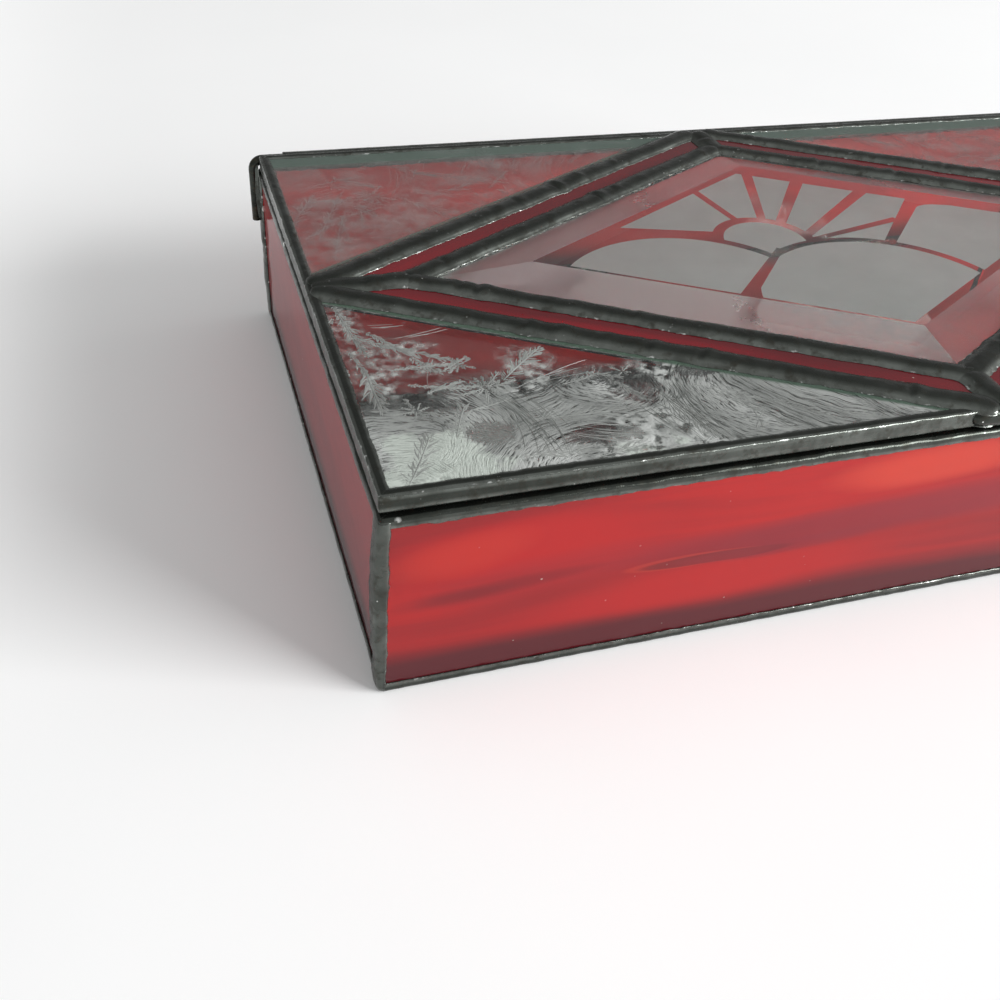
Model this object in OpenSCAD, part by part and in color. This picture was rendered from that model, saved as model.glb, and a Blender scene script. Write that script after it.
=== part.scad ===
// Keepsake box of art glass: red glass walls on a mirror base, and a hinged lid whose
// bevelled rhombus is framed by narrow red strips and four frost-patterned corners.
// Every pane is wrapped in foil and joined to its neighbours by a soldered seam.
// The origin is the middle of the box on the surface that it stands on.

/* [Body] */
// Width of the body over its corner seams
box_w = 258; // [180:1:340]
// Depth of the body over its corner seams
box_d = 152; // [110:1:220]
// Height of the body up to the top of its rim
body_h = 44.5; // [34:0.5:80]
// Thickness of the red glass in the walls
wall_t = 3; // [2.6:0.1:4]
// Thickness of the mirror in the base
mirror_t = 3; // [2:0.1:4]

/* [Foil and solder] */
// How far the tinned foil stands proud of the glass in the body
skin = 0.5; // [0.4:0.05:0.7]
// Height of the tinned band along the rim and the foot of each wall
band_h = 2.3; // [1.8:0.1:4]
// Width that a corner seam covers on each wall
corner_lap = 4.6; // [4.2:0.1:6]
// Radius of the rounded outer edges of the seams
edge_r = 1.2; // [0.6:0.1:1.3]
// Gap between two panes, which a seam fills
seam_gap = 0.6; // [0.4:0.1:1]
// Radius of the solder run along the inside of the base
fillet_r = 2; // [1:0.1:3]
// Width that the base seam covers under the mirror
under_lap = 2.3; // [1.5:0.1:4]

/* [Lid] */
// Thickness of the glass in the lid
lid_t = 3; // [2.6:0.1:4]
// Clearance between the closed lid and the rim
lid_rest = 0.3; // [0.2:0.05:0.8]
// How far the lid is set back from the front of the body
lid_front_set = 1.1; // [0.5:0.1:2]
// How far the lid is set in at each side
lid_side_set = 0.3; // [0:0.1:1.5]
// How far the tinned foil stands proud of the lid's edge
edge_skin = 0.3; // [0.2:0.05:0.5]
// Width of the foil that laps over the lid's edge
edge_lap = 2.3; // [1.8:0.1:4]
// How far the solder stands below the glass of the lid
under_bead = 0.6; // [0.5:0.05:0.8]

/* [Rhombus] */
// Width of a red strip, from the middle of one seam to the middle of the next
strip_pitch = 11.4; // [9:0.1:16]
// Width of a rounded seam in the lid
bead_w = 7; // [4:0.1:8]
// Height of a rounded seam above the glass
bead_h = 1.2; // [0.6:0.1:1.8]
// Width of the ground slope around the bevelled pane
bevel_w = 11.2; // [6:0.1:16]
// Rise from the edge of the bevelled pane to its flat
bevel_rise = 2; // [1:0.1:3]

/* [Hinge] */
// Diameter of the hinge rod
rod_d = 2.4; // [1.6:0.1:3]
// Outer diameter of the hinge tube
tube_d = 3.2; // [2.9:0.1:4]
// Radial clearance of the rod in the tube
rod_clear = 0.05; // [0.02:0.01:0.1]
// How far the tube reaches behind the body
tube_overhang = 0.4; // [0:0.1:1]
// Bare length of rod between each end of the tube and the side of the body
rod_bare = 7; // [5:0.5:20]
// Radius of the rod's bend, to the middle of the rod
bend_r = 2.6; // [2.4:0.1:3]
// Length of the leg that is soldered down each back corner
leg_l = 17; // [10:0.5:24]

/* [Thumb lift] */
// Width of the solder lift at the front of the lid
lift_w = 16; // [8:0.5:30]
// How far the lift stands out from the front of the body
lift_proud = 0.4; // [0.2:0.1:2]

/* [Hidden] */
$fn = 64;

// Colours as they look in the light
red_glass = [0.72, 0.14, 0.13];
deep_red_glass = [0.48, 0.10, 0.12];
frost_glass = [0.78, 0.82, 0.80];
clear_glass = [0.70, 0.72, 0.71];
mirror_silver = [0.80, 0.82, 0.83];
patina = [0.22, 0.24, 0.22];
dark_brass = [0.25, 0.24, 0.21];

// Body, measured inward from its outer faces
wall_in = skin + wall_t;
base_in = wall_in + seam_gap;
mirror_top = skin + mirror_t;

// Hinge
hinge_y = box_d / 2 + tube_overhang - tube_d / 2;
lid_z = body_h + lid_rest + under_bead;
hinge_z = lid_z + lid_t / 2;
leg_x = box_w / 2 + rod_d / 2;
tube_l = box_w - 2 * rod_bare;
saddle_h = leg_l - bend_r;
saddle_t = rod_d * 0.4;
saddle_foot = rod_d * 0.5;
fit_slack = 0.02;
fillet_inner = tube_d * 0.15;
fillet_outer = tube_d * 0.46;

// Lid, seen from above
lid_w = box_w - 2 * lid_side_set;
lid_front = -box_d / 2 + lid_front_set;
lid_back = hinge_y - tube_d / 2;
lid_d = lid_back - lid_front;
lid_mid = (lid_front + lid_back) / 2;
half_w = lid_w / 2;
half_d = lid_d / 2;

// The outer seams join the midpoints of the lid's edges. Every parallel line is named
// by its distance from the middle of the lid.
outer_p = half_w * half_d / norm([half_w, half_d]);
inner_p = outer_p - strip_pitch;
lip_p = inner_p - bead_w / 2;
ridge_p = lip_p - bevel_w;
slope = atan(half_d / half_w);

// Origin: the thumb lift reaches in front of the body and the tube behind it
origin_y = (lift_proud - tube_overhang) / 2;
big = 2 * (box_w + box_d);
small = 0.1;

// --- Outlines ---------------------------------------------------------------

// Square with its corner at the origin and that corner rounded
module rounded_corner(size, r) {
    difference() {
        square(size);
        square(r);
    }
    intersection() {
        translate([r, r]) circle(r);
        square(r);
    }
}

// Rectangle with its two upper corners rounded
module round_topped(w, h, r) {
    square([w, h - r]);
    translate([r, 0]) square([w - 2 * r, h]);
    for (x = [r, w - r])
        translate([x, h - r]) circle(r);
}

// Low rounded bead of solder: the part of a circle above a chord
module bead_outline(w, h) {
    r = (w * w / 4 + h * h) / (2 * h);
    intersection() {
        translate([0, h - r]) circle(r, $fn = 128);
        translate([-w / 2, 0]) square([w, 2 * h]);
    }
}

// Rhombus whose sides lie at distance p from the middle of the lid
module rhombus(p) {
    k = p / outer_p;
    polygon([[half_w * k, 0], [0, half_d * k], [-half_w * k, 0], [0, -half_d * k]]);
}

module rhombus_ring(p_out, p_in) {
    difference() {
        rhombus(p_out);
        rhombus(p_in);
    }
}

module lid_outline(inset) {
    square([lid_w - 2 * inset, lid_d - 2 * inset], center = true);
}

// One quarter of the plan: sx and sy are -1 or 1, and inset keeps clear of the middle
module quarter(sx, sy, inset) {
    scale([sx, sy]) translate([inset, inset]) square(big);
}

// --- Placing ----------------------------------------------------------------

module in_frame() {
    translate([0, origin_y, 0]) children();
}

// Lid pieces are drawn about the middle of the lid, from the underside of its glass
module on_lid() {
    in_frame() translate([0, lid_mid, lid_z]) children();
}

module mirrored(flip_x, flip_y) {
    mirror([flip_x ? 1 : 0, 0, 0]) mirror([0, flip_y ? 1 : 0, 0]) children();
}

// Draws a (distance inward, height) outline along the front edge of a w by d rectangle,
// mitred at both ends
module along_front(w, d) {
    intersection() {
        translate([-w / 2, -d / 2, 0]) rotate([90, 0, 90]) linear_extrude(w) children();
        translate([0, -d / 2, -big / 2]) linear_extrude(big)
            polygon([[-w / 2, 0], [w / 2, 0], [w / 2 - d / 2, d / 2], [-w / 2 + d / 2, d / 2]]);
    }
}

// The same along the left edge
module along_left(w, d) {
    rotate(-90) along_front(d, w) children();
}

// --- Panes ------------------------------------------------------------------

module front_glass() {
    translate([-box_w / 2 + skin, -box_d / 2 + skin, skin])
        cube([box_w - 2 * skin, wall_t, body_h - 2 * skin]);
}

module left_glass() {
    translate([-box_w / 2 + skin, -box_d / 2 + base_in, skin])
        cube([wall_t, box_d - 2 * base_in, body_h - 2 * skin]);
}

module base_glass() {
    translate([-box_w / 2 + base_in, -box_d / 2 + base_in, skin])
        cube([box_w - 2 * base_in, box_d - 2 * base_in, mirror_t]);
}

module wall_front_back(flip_y) {
    color(red_glass) in_frame() mirrored(false, flip_y) front_glass();
}

module wall_left_right(flip_x) {
    color(red_glass) in_frame() mirrored(flip_x, false) left_glass();
}

module base_mirror() {
    color(mirror_silver) in_frame() base_glass();
}

// --- Seams of the body ------------------------------------------------------

module body_panes() {
    front_glass();
    left_glass();
    base_glass();
}

// Upright seam at the front left corner: foil over both faces of both panes, closed
// over their ends, and a small bead in the angle inside
module corner_solder() {
    difference() {
        translate([-box_w / 2, -box_d / 2, 0]) linear_extrude(body_h) {
            difference() {
                rounded_corner(corner_lap, edge_r);
                translate([wall_in + skin, wall_in + skin]) square(corner_lap);
            }
            intersection() {
                translate([wall_in, wall_in]) circle(corner_lap - wall_in);
                translate([wall_in, wall_in]) square(corner_lap);
            }
        }
        body_panes();
    }
}

// Solder that holds the rod's leg to the side of the left back corner
module leg_saddle() {
    difference() {
        translate([-box_w / 2, hinge_y, hinge_z - bend_r - saddle_h]) linear_extrude(saddle_h)
            polygon([
                [skin / 2, -rod_d / 2 - saddle_foot],
                [0, -rod_d / 2 - saddle_foot],
                [-saddle_t, -rod_d / 2],
                [-saddle_t, rod_d / 2],
                [skin / 2, rod_d / 2]
            ]);
        translate([-leg_x, hinge_y, 0]) cylinder(d = rod_d + 2 * fit_slack, h = big, center = true);
        translate([-box_w, -big / 2, body_h - edge_r]) cube([box_w, big, big]);
    }
}

module corner_seam_front(flip_x) {
    color(patina) in_frame() mirrored(flip_x, false) corner_solder();
}

module corner_seam_back(flip_x) {
    color(patina) in_frame() mirrored(flip_x, false) difference() {
        union() {
            mirrored(false, true) corner_solder();
            leg_saddle();
        }
        rod_solid(fit_slack);
    }
}

// Outline of a base seam: band up the wall, foot under the mirror, run inside
module base_seam_outline() {
    difference() {
        union() {
            intersection() {
                rounded_corner(max(band_h, base_in), edge_r / 2);
                square([skin, band_h]);
            }
            intersection() {
                rounded_corner(base_in + under_lap, edge_r / 2);
                translate([skin, 0]) square([base_in + under_lap, mirror_top]);
            }
            intersection() {
                translate([wall_in, mirror_top]) circle(fillet_r);
                translate([wall_in, mirror_top]) square(fillet_r);
            }
        }
        translate([skin, skin]) square([wall_t, body_h]);
        translate([base_in, skin]) square([box_w, mirror_t]);
    }
}

module corner_columns() {
    for (sx = [-1, 1], sy = [-1, 1])
        scale([sx, sy, 1]) translate([box_w / 2 - corner_lap, box_d / 2 - corner_lap, -big / 2])
            cube([big, big, big]);
}

module base_seam_front_back(flip_y) {
    color(patina) in_frame() mirrored(false, flip_y) difference() {
        along_front(box_w, box_d) base_seam_outline();
        corner_columns();
    }
}

module base_seam_left_right(flip_x) {
    color(patina) in_frame() mirrored(flip_x, false) difference() {
        along_left(box_w, box_d) base_seam_outline();
        corner_columns();
    }
}

// Outline of the tinned cap on a wall's top edge
module rim_outline() {
    translate([0, body_h - band_h]) difference() {
        round_topped(wall_in + skin, band_h, edge_r);
        translate([skin, -small]) square([wall_t, band_h - skin + small]);
    }
}

module rim_seam_front_back(flip_y) {
    color(patina) in_frame() mirrored(false, flip_y) difference() {
        along_front(box_w, box_d) rim_outline();
        corner_columns();
    }
}

module rim_seam_left_right(flip_x) {
    color(patina) in_frame() mirrored(flip_x, false) difference() {
        along_left(box_w, box_d) rim_outline();
        corner_columns();
    }
}

// --- Hinge ------------------------------------------------------------------

// Staple-shaped rod: a straight run through the tube, two bends and two legs
module rod_solid(slack) {
    run = 2 * (leg_x - bend_r);
    d = rod_d + 2 * slack;
    translate([0, hinge_y, hinge_z]) {
        rotate([0, 90, 0]) cylinder(d = d, h = run, center = true);
        for (side = [0, 1])
            mirror([side, 0, 0]) {
                translate([run / 2, 0, -bend_r]) rotate([90, 0, 0])
                    rotate_extrude(angle = 90) translate([bend_r, 0]) circle(d = d);
                translate([leg_x, 0, -leg_l]) cylinder(d = d, h = leg_l - bend_r);
            }
    }
}

module hinge_rod() {
    color(dark_brass) in_frame() rod_solid(0);
}

module hinge_tube() {
    color(dark_brass) in_frame() translate([0, hinge_y, hinge_z]) rotate([0, 90, 0])
        difference() {
            cylinder(d = tube_d, h = tube_l, center = true);
            cylinder(d = rod_d + 2 * rod_clear, h = tube_l + 2, center = true);
        }
}

// Two fillets, above and below, between the tube and the back edge of the lid
module hinge_solder() {
    color(patina) in_frame() translate([0, hinge_y, hinge_z])
        for (side = [0, 1])
            mirror([0, 0, side]) rotate([90, 0, 90]) linear_extrude(tube_l, center = true)
                difference() {
                    translate([-tube_d / 2, fillet_inner])
                        square([tube_d / 2, fillet_outer - fillet_inner]);
                    circle(d = tube_d + 2 * fit_slack);
                }
}

// --- Edge of the lid --------------------------------------------------------

// Outline of the tinned channel around the lid, with the bead that rests on the rim
module lid_edge_outline() {
    channel_h = lid_t + 2 * edge_skin;
    difference() {
        union() {
            translate([0, -edge_skin]) round_topped(edge_lap + edge_skin, channel_h, edge_skin);
            translate([(edge_lap + edge_skin) / 2, -edge_skin]) mirror([0, 1])
                bead_outline(edge_lap, under_bead - edge_skin);
        }
        translate([edge_skin, 0]) square([lid_w, lid_t]);
    }
}

module lid_edge_front_back(flip_y) {
    color(patina) on_lid() mirrored(false, flip_y)
        along_front(lid_w, lid_d) lid_edge_outline();
}

module lid_edge_left_right(flip_x) {
    color(patina) on_lid() mirrored(flip_x, false)
        along_left(lid_w, lid_d) lid_edge_outline();
}

// --- Panes of the lid -------------------------------------------------------

module frost_corner(sx, sy) {
    color(frost_glass) on_lid() linear_extrude(lid_t) difference() {
        intersection() {
            lid_outline(edge_skin);
            quarter(sx, sy, 0);
        }
        rhombus(outer_p + seam_gap / 2);
    }
}

module red_strip(sx, sy) {
    color(deep_red_glass) on_lid() linear_extrude(lid_t) intersection() {
        rhombus_ring(outer_p - seam_gap / 2, inner_p + seam_gap / 2);
        lid_outline(edge_skin);
        quarter(sx, sy, seam_gap / 2);
    }
}

// Space above one ground slope; the wedge rises from the lip to past the ridge
module above_bevel() {
    spare = 1;
    rotate([90, 0, 0]) linear_extrude(big, center = true)
        polygon([
            [lip_p, lid_t],
            [ridge_p - spare * bevel_w / bevel_rise, lid_t + bevel_rise + spare],
            [outer_p, lid_t + bevel_rise + spare],
            [outer_p, lid_t]
        ]);
}

module centre_bevel() {
    normal = 90 - slope;
    color(clear_glass) on_lid() difference() {
        linear_extrude(lid_t + bevel_rise) rhombus(inner_p - seam_gap / 2);
        for (turn = [normal, 180 - normal, 180 + normal, -normal])
            rotate(turn) above_bevel();
    }
}

// --- Seams of the lid -------------------------------------------------------

// Rounded seam along X: bead over the panes, web between them, flatter bead below
module lid_seam_solid() {
    rotate([90, 0, 90]) linear_extrude(big, center = true) {
        translate([0, lid_t]) bead_outline(bead_w, bead_h);
        translate([-seam_gap / 2, -small]) square([seam_gap, lid_t + 2 * small]);
        mirror([0, 1]) bead_outline(bead_w, under_bead);
    }
}

// A seam at distance p from the middle, over its own quarter and inside the edge's foil
module sloping_seam(p, sx, sy) {
    color(patina) on_lid() intersection() {
        scale([sx, sy, 1]) rotate(90 - slope) translate([p, 0, 0]) rotate(90) lid_seam_solid();
        translate([0, 0, -big / 2]) linear_extrude(big) intersection() {
            rhombus_ring(p + bead_w / 2, p - bead_w / 2);
            lid_outline(edge_skin + edge_lap);
            quarter(sx, sy, 0);
        }
    }
}

module outer_seam(sx, sy) {
    sloping_seam(outer_p, sx, sy);
}

module inner_seam(sx, sy) {
    sloping_seam(inner_p, sx, sy);
}

// Short seam between the ends of two strips. It runs outward along X; reach is the
// lid's half size that way and side its half size across.
module mitre_outline(reach, side) {
    near = (inner_p + bead_w / 2) / outer_p;
    far = (outer_p - bead_w / 2) / outer_p;
    half = bead_w / 2;
    cut = half / side;
    polygon([
        [near * reach, 0],
        [(near - cut) * reach, half],
        [(far - cut) * reach, half],
        [far * reach, 0],
        [(far - cut) * reach, -half],
        [(near - cut) * reach, -half]
    ]);
}

module mitre_seam(turn, reach, side) {
    color(patina) on_lid() rotate(turn) intersection() {
        lid_seam_solid();
        translate([0, 0, -lid_t]) linear_extrude(3 * lid_t) mitre_outline(reach, side);
    }
}

// Swelling of solder at the middle of the lid's front edge, for a fingertip
module thumb_lift() {
    reach = lid_front_set + lift_proud;
    color(patina) in_frame() translate([0, lid_front, lid_z - edge_skin])
        linear_extrude(lid_t + 2 * edge_skin) rotate(180) bead_outline(lift_w, reach);
}

// --- The box ----------------------------------------------------------------

base_mirror();
wall_front_back(false);  // front_wall
wall_front_back(true);  // back_wall
wall_left_right(false);  // left_wall
wall_left_right(true);  // right_wall
corner_seam_front(false);  // corner_seam_front_left
corner_seam_front(true);  // corner_seam_front_right
corner_seam_back(false);  // corner_seam_back_left
corner_seam_back(true);  // corner_seam_back_right
base_seam_front_back(false);  // base_seam_front
base_seam_front_back(true);  // base_seam_back
base_seam_left_right(false);  // base_seam_left
base_seam_left_right(true);  // base_seam_right
rim_seam_front_back(false);  // rim_seam_front
rim_seam_front_back(true);  // rim_seam_back
rim_seam_left_right(false);  // rim_seam_left
rim_seam_left_right(true);  // rim_seam_right
hinge_rod();
hinge_tube();
hinge_solder();
lid_edge_front_back(false);  // lid_edge_front
lid_edge_front_back(true);  // lid_edge_back
lid_edge_left_right(false);  // lid_edge_left
lid_edge_left_right(true);  // lid_edge_right
frost_corner(-1, -1);  // frost_corner_front_left
frost_corner(1, -1);  // frost_corner_front_right
frost_corner(-1, 1);  // frost_corner_back_left
frost_corner(1, 1);  // frost_corner_back_right
red_strip(-1, -1);  // red_strip_front_left
red_strip(1, -1);  // red_strip_front_right
red_strip(-1, 1);  // red_strip_back_left
red_strip(1, 1);  // red_strip_back_right
outer_seam(-1, -1);  // outer_seam_front_left
outer_seam(1, -1);  // outer_seam_front_right
outer_seam(-1, 1);  // outer_seam_back_left
outer_seam(1, 1);  // outer_seam_back_right
inner_seam(-1, -1);  // inner_seam_front_left
inner_seam(1, -1);  // inner_seam_front_right
inner_seam(-1, 1);  // inner_seam_back_left
inner_seam(1, 1);  // inner_seam_back_right
mitre_seam(-90, half_d, half_w);  // mitre_seam_front
mitre_seam(90, half_d, half_w);  // mitre_seam_back
mitre_seam(180, half_w, half_d);  // mitre_seam_left
mitre_seam(0, half_w, half_d);  // mitre_seam_right
centre_bevel();
thumb_lift();
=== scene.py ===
# %% [markdown]
# # A keepsake box of art glass
#
# The real box is made the way a stained-glass window is. Each pane of glass is cut, its rim is
# wrapped in copper foil, and molten solder is run along the foil so that neighbouring panes are
# held by a rounded metal seam. A black patina then darkens the metal.
#
# The CAD model gives every pane and every seam its place. This script keeps the flat panes, gives
# them glass materials, and builds the seams again as hand-soldered beads, because a real bead
# swells, wavers and pinches, which an exact solid does not show.

import math
import random

import bpy
from mathutils import Matrix, Vector, geometry, noise


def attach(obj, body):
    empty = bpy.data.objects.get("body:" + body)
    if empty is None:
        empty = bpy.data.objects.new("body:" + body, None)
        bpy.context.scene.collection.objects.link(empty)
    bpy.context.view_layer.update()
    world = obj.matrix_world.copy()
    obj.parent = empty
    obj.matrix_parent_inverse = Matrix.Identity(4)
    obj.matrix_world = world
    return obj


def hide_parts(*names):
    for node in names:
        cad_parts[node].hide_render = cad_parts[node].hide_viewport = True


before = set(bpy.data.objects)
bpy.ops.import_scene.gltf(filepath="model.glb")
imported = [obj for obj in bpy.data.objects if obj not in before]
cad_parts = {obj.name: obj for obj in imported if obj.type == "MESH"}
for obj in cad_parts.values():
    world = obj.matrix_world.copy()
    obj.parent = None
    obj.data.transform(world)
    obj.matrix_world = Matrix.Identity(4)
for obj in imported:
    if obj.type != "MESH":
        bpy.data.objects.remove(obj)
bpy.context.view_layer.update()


# %% [markdown]
# ## Sizes
#
# Lengths are written in millimetres, as a glass worker would mark them, and every point is turned
# into metres only when a mesh is made. The values repeat those of the CAD part. The body's origin
# is the middle of the box on the table. Lid pieces are placed from the middle of the lid.

# %% Sizes of the box
MM = 0.001

BOX_W, BOX_D, BODY_H = 258.0, 152.0, 44.5
SKIN, WALL_IN, BASE_IN = 0.5, 3.5, 4.1
MIRROR_TOP = 3.5
BAND_H, CORNER_LAP = 2.3, 4.6

LID_W, LID_FRONT, LID_BACK = 257.4, -74.9, 73.2
LID_Z, LID_T = 45.4, 3.0
LID_MID = (LID_FRONT + LID_BACK) / 2
HALF_W, HALF_D = LID_W / 2, (LID_BACK - LID_FRONT) / 2
EDGE_SKIN, EDGE_LAP = 0.3, 2.3
# How far the hidden faces of a seam reach into the glass, so that no gap shows
TUCK = 0.02

OUTER_P = HALF_W * HALF_D / math.hypot(HALF_W, HALF_D)
INNER_P = OUTER_P - 11.4
LIP_P = INNER_P - 3.5
RIDGE_P = LIP_P - 11.2
BEVEL_RISE = 2.0
SLOPE = math.atan2(HALF_D, HALF_W)

HINGE_Y, HINGE_Z = 74.8, 46.9
ROD_R, TUBE_R, TUBE_BORE_R, TUBE_L = 1.2, 1.6, 1.25, 244.0
LEG_X, LEG_L, BEND_R = 130.2, 17.0, 2.6

SIDES = {"front": -1, "back": 1, "left": -1, "right": 1}
QUARTERS = [(end, side) for end in ("front", "back") for side in ("left", "right")]
print(f"outer seams lie {OUTER_P:.1f} mm from the middle of the lid, inner seams {INNER_P:.1f} mm")

# %% [markdown]
# ## Making meshes
#
# Every new piece goes through one helper: its points, faces and crest marks, the CAD body that
# carries it, a name for its material slot, which the helper does not use, the CAD node that it
# stands for, and its materials. The crest mark is a number per point, which tells a material the
# crest of a bead from its thin foil edge.

# %% Mesh helpers
def add_piece(name, part, body, slot, node, *materials, smooth=True):
    points, faces, crests = part
    mesh = bpy.data.meshes.new(name)
    mesh.from_pydata([(x * MM, y * MM, z * MM) for x, y, z in points], [], faces)
    mesh.update()
    if crests:
        mesh.attributes.new("crest", "FLOAT", "POINT").data.foreach_set("value", crests)
    for material in materials:
        mesh.materials.append(material)
    mesh.polygons.foreach_set("use_smooth", [smooth] * len(mesh.polygons))
    piece = bpy.data.objects.new(name, mesh)
    bpy.context.scene.collection.objects.link(piece)
    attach(piece, body)
    if node:
        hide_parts(node)
    return piece


def finish_node(name, material):
    """A CAD node that keeps its shape and gets a better material."""
    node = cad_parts[name]
    node.data.materials.clear()
    node.data.materials.append(material)


def steps(low, high, pitch):
    """Evenly spaced values from low to high, no further apart than pitch."""
    count = max(2, math.ceil((high - low) / pitch))
    return [low + (high - low) * i / count for i in range(count + 1)]


print("steps of at most 0.5 from 0 to 2:", steps(0.0, 2.0, 0.5))

# %% [markdown]
# ## Node helpers
#
# Materials are reckoned like sums. A `Wire` is the output of a node. Adding, subtracting,
# multiplying or dividing wires and numbers makes the Math nodes for it, so that
# `polish + stains * 0.14` reads as it would on paper. `put` adds any other node: a plain value is
# typed into its socket, and a wire is linked to it.

# %% Wires
class Wire:
    def __init__(self, tree, socket):
        self.tree, self.socket = tree, socket

    def __add__(self, other):
        return maths("ADD", self, other)

    def __radd__(self, other):
        return maths("ADD", other, self)

    def __sub__(self, other):
        return maths("SUBTRACT", self, other)

    def __mul__(self, other):
        return maths("MULTIPLY", self, other)

    def __truediv__(self, other):
        return maths("DIVIDE", self, other)

    def __abs__(self):
        return maths("ABSOLUTE", self)


def put(tree, kind, inputs=None, **settings):
    """Adds a node and gives its outputs as wires, to be taken by number or by name."""
    node = tree.nodes.new(kind if kind.startswith("NodeGroup") else "ShaderNode" + kind)
    for name, value in settings.items():
        setattr(node, name, value)
    for key, value in (inputs or {}).items():
        socket = node.inputs[key]
        if isinstance(value, Wire):
            tree.links.new(value.socket, socket)
        else:
            socket.default_value = (*value, 1.0) if socket.type == "RGBA" else value
    wires = [Wire(tree, socket) for socket in node.outputs]
    return dict(enumerate(wires)) | {wire.socket.name: wire for wire in wires}


def maths(operation, a, b=0.0, clamp=False):
    tree = a.tree if isinstance(a, Wire) else b.tree
    return put(tree, "Math", {0: a, 1: b}, operation=operation, use_clamp=clamp)[0]


def larger(a, b):
    return maths("MAXIMUM", a, b)


# %% Node helpers
GIVES_NUMBER = ("DISTANCE", "DOT_PRODUCT", "LENGTH")


def vectors(operation, a, b=None):
    inputs = {0: a} if b is None else {0: a, 1: b}
    return put(a.tree, "VectorMath", inputs, operation=operation)[int(operation in GIVES_NUMBER)]


def separate(vector):
    return put(vector.tree, "SeparateXYZ", {0: vector})


def combine(**parts):
    tree = next(part.tree for part in parts.values() if isinstance(part, Wire))
    return put(tree, "CombineXYZ", parts)[0]


def remap(value, low, high, to_low=0.0, to_high=1.0, smooth=False):
    ranges = {"Value": value, "From Min": low, "From Max": high, "To Min": to_low, "To Max": to_high}
    kind = "SMOOTHSTEP" if smooth else "LINEAR"
    return put(value.tree, "MapRange", ranges, interpolation_type=kind)[0]


def blend(factor, first, second):
    """Colour between first and second."""
    return put(factor.tree, "Mix", {0: factor, 6: first, 7: second}, data_type="RGBA")[2]


def between(factor, first, second):
    """Number between first and second."""
    return put(factor.tree, "Mix", {0: factor, 2: first, 3: second})[0]


def noise_at(vector, scale, detail=3.0, rough=0.55, warp=0.0, out="Fac"):
    inputs = {"Vector": vector, "Scale": scale, "Detail": detail, "Roughness": rough, "Distortion": warp}
    return put(vector.tree, "TexNoise", inputs)[out]


def stretch(vector, scale, turn=(0.0, 0.0, 0.0)):
    """Coordinates multiplied per axis, so that a texture is drawn out along one of them."""
    return put(vector.tree, "Mapping", {"Vector": vector, "Scale": scale, "Rotation": turn})[0]


def bumped(height, strength, distance):
    return put(height.tree, "Bump", {"Height": height, "Strength": strength, "Distance": distance})[0]


# %% Groups and materials
def new_group(name, takes, gives):
    """Node group and its inputs. A take without a value is a vector; Colour is a colour."""
    group = bpy.data.node_groups.new(name, "ShaderNodeTree")
    for label, value in takes.items():
        kind = "NodeSocketVector" if value is None else "NodeSocketFloat"
        socket = group.interface.new_socket(label, in_out="INPUT", socket_type=kind)
        if value is not None:
            socket.default_value = value
    for label in gives:
        kind = "NodeSocketColor" if label == "Colour" else "NodeSocketFloat"
        group.interface.new_socket(label, in_out="OUTPUT", socket_type=kind)
    return group, put(group, "NodeGroupInput")


def finish_group(group, **results):
    put(group, "NodeGroupOutput", results)
    print(f"{group.name} group: {len(group.nodes)} nodes")
    return group


def new_material(name):
    """Empty material, and the place on the object in metres. All pieces share the box's frame."""
    material = bpy.data.materials.new(name)
    material.use_nodes = True
    material.node_tree.nodes.clear()
    return material, put(material.node_tree, "TexCoord")["Object"]


def finish_material(material, **inputs):
    """Principled shader fed with wires or plain values; _ stands for the space in socket names."""
    tree = material.node_tree
    named = {key.replace("_", " "): value for key, value in inputs.items()}
    put(tree, "OutputMaterial", {0: put(tree, "BsdfPrincipled", named)[0]})
    return material


def crest_mark(place):
    return put(place.tree, "Attribute", attribute_name="crest")["Fac"]


print("helpers ready")

# %% [markdown]
# ## Node group: black patina on solder
#
# Patina is a chemical stain. It turns bright tin into a dark grey-green that is never even: it is
# cloudy where it was rubbed, browner in hollows, and gone in scratches and along sharp foil edges,
# where the bright tin shows through. The group takes the place and the crest mark of the bead and
# gives a colour, a roughness and a height. The mark is 0 on the foil edge and 1 on the crest.

# %% Patina group
BLACK_BEAD = [(0.030, 0.034, 0.029), (0.054, 0.060, 0.053)]
GREY_FOIL = [(0.085, 0.092, 0.083), (0.170, 0.185, 0.170)]
BROWN_STAIN = (0.036, 0.034, 0.026)
BRIGHT_TIN = (0.72, 0.74, 0.72)


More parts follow.
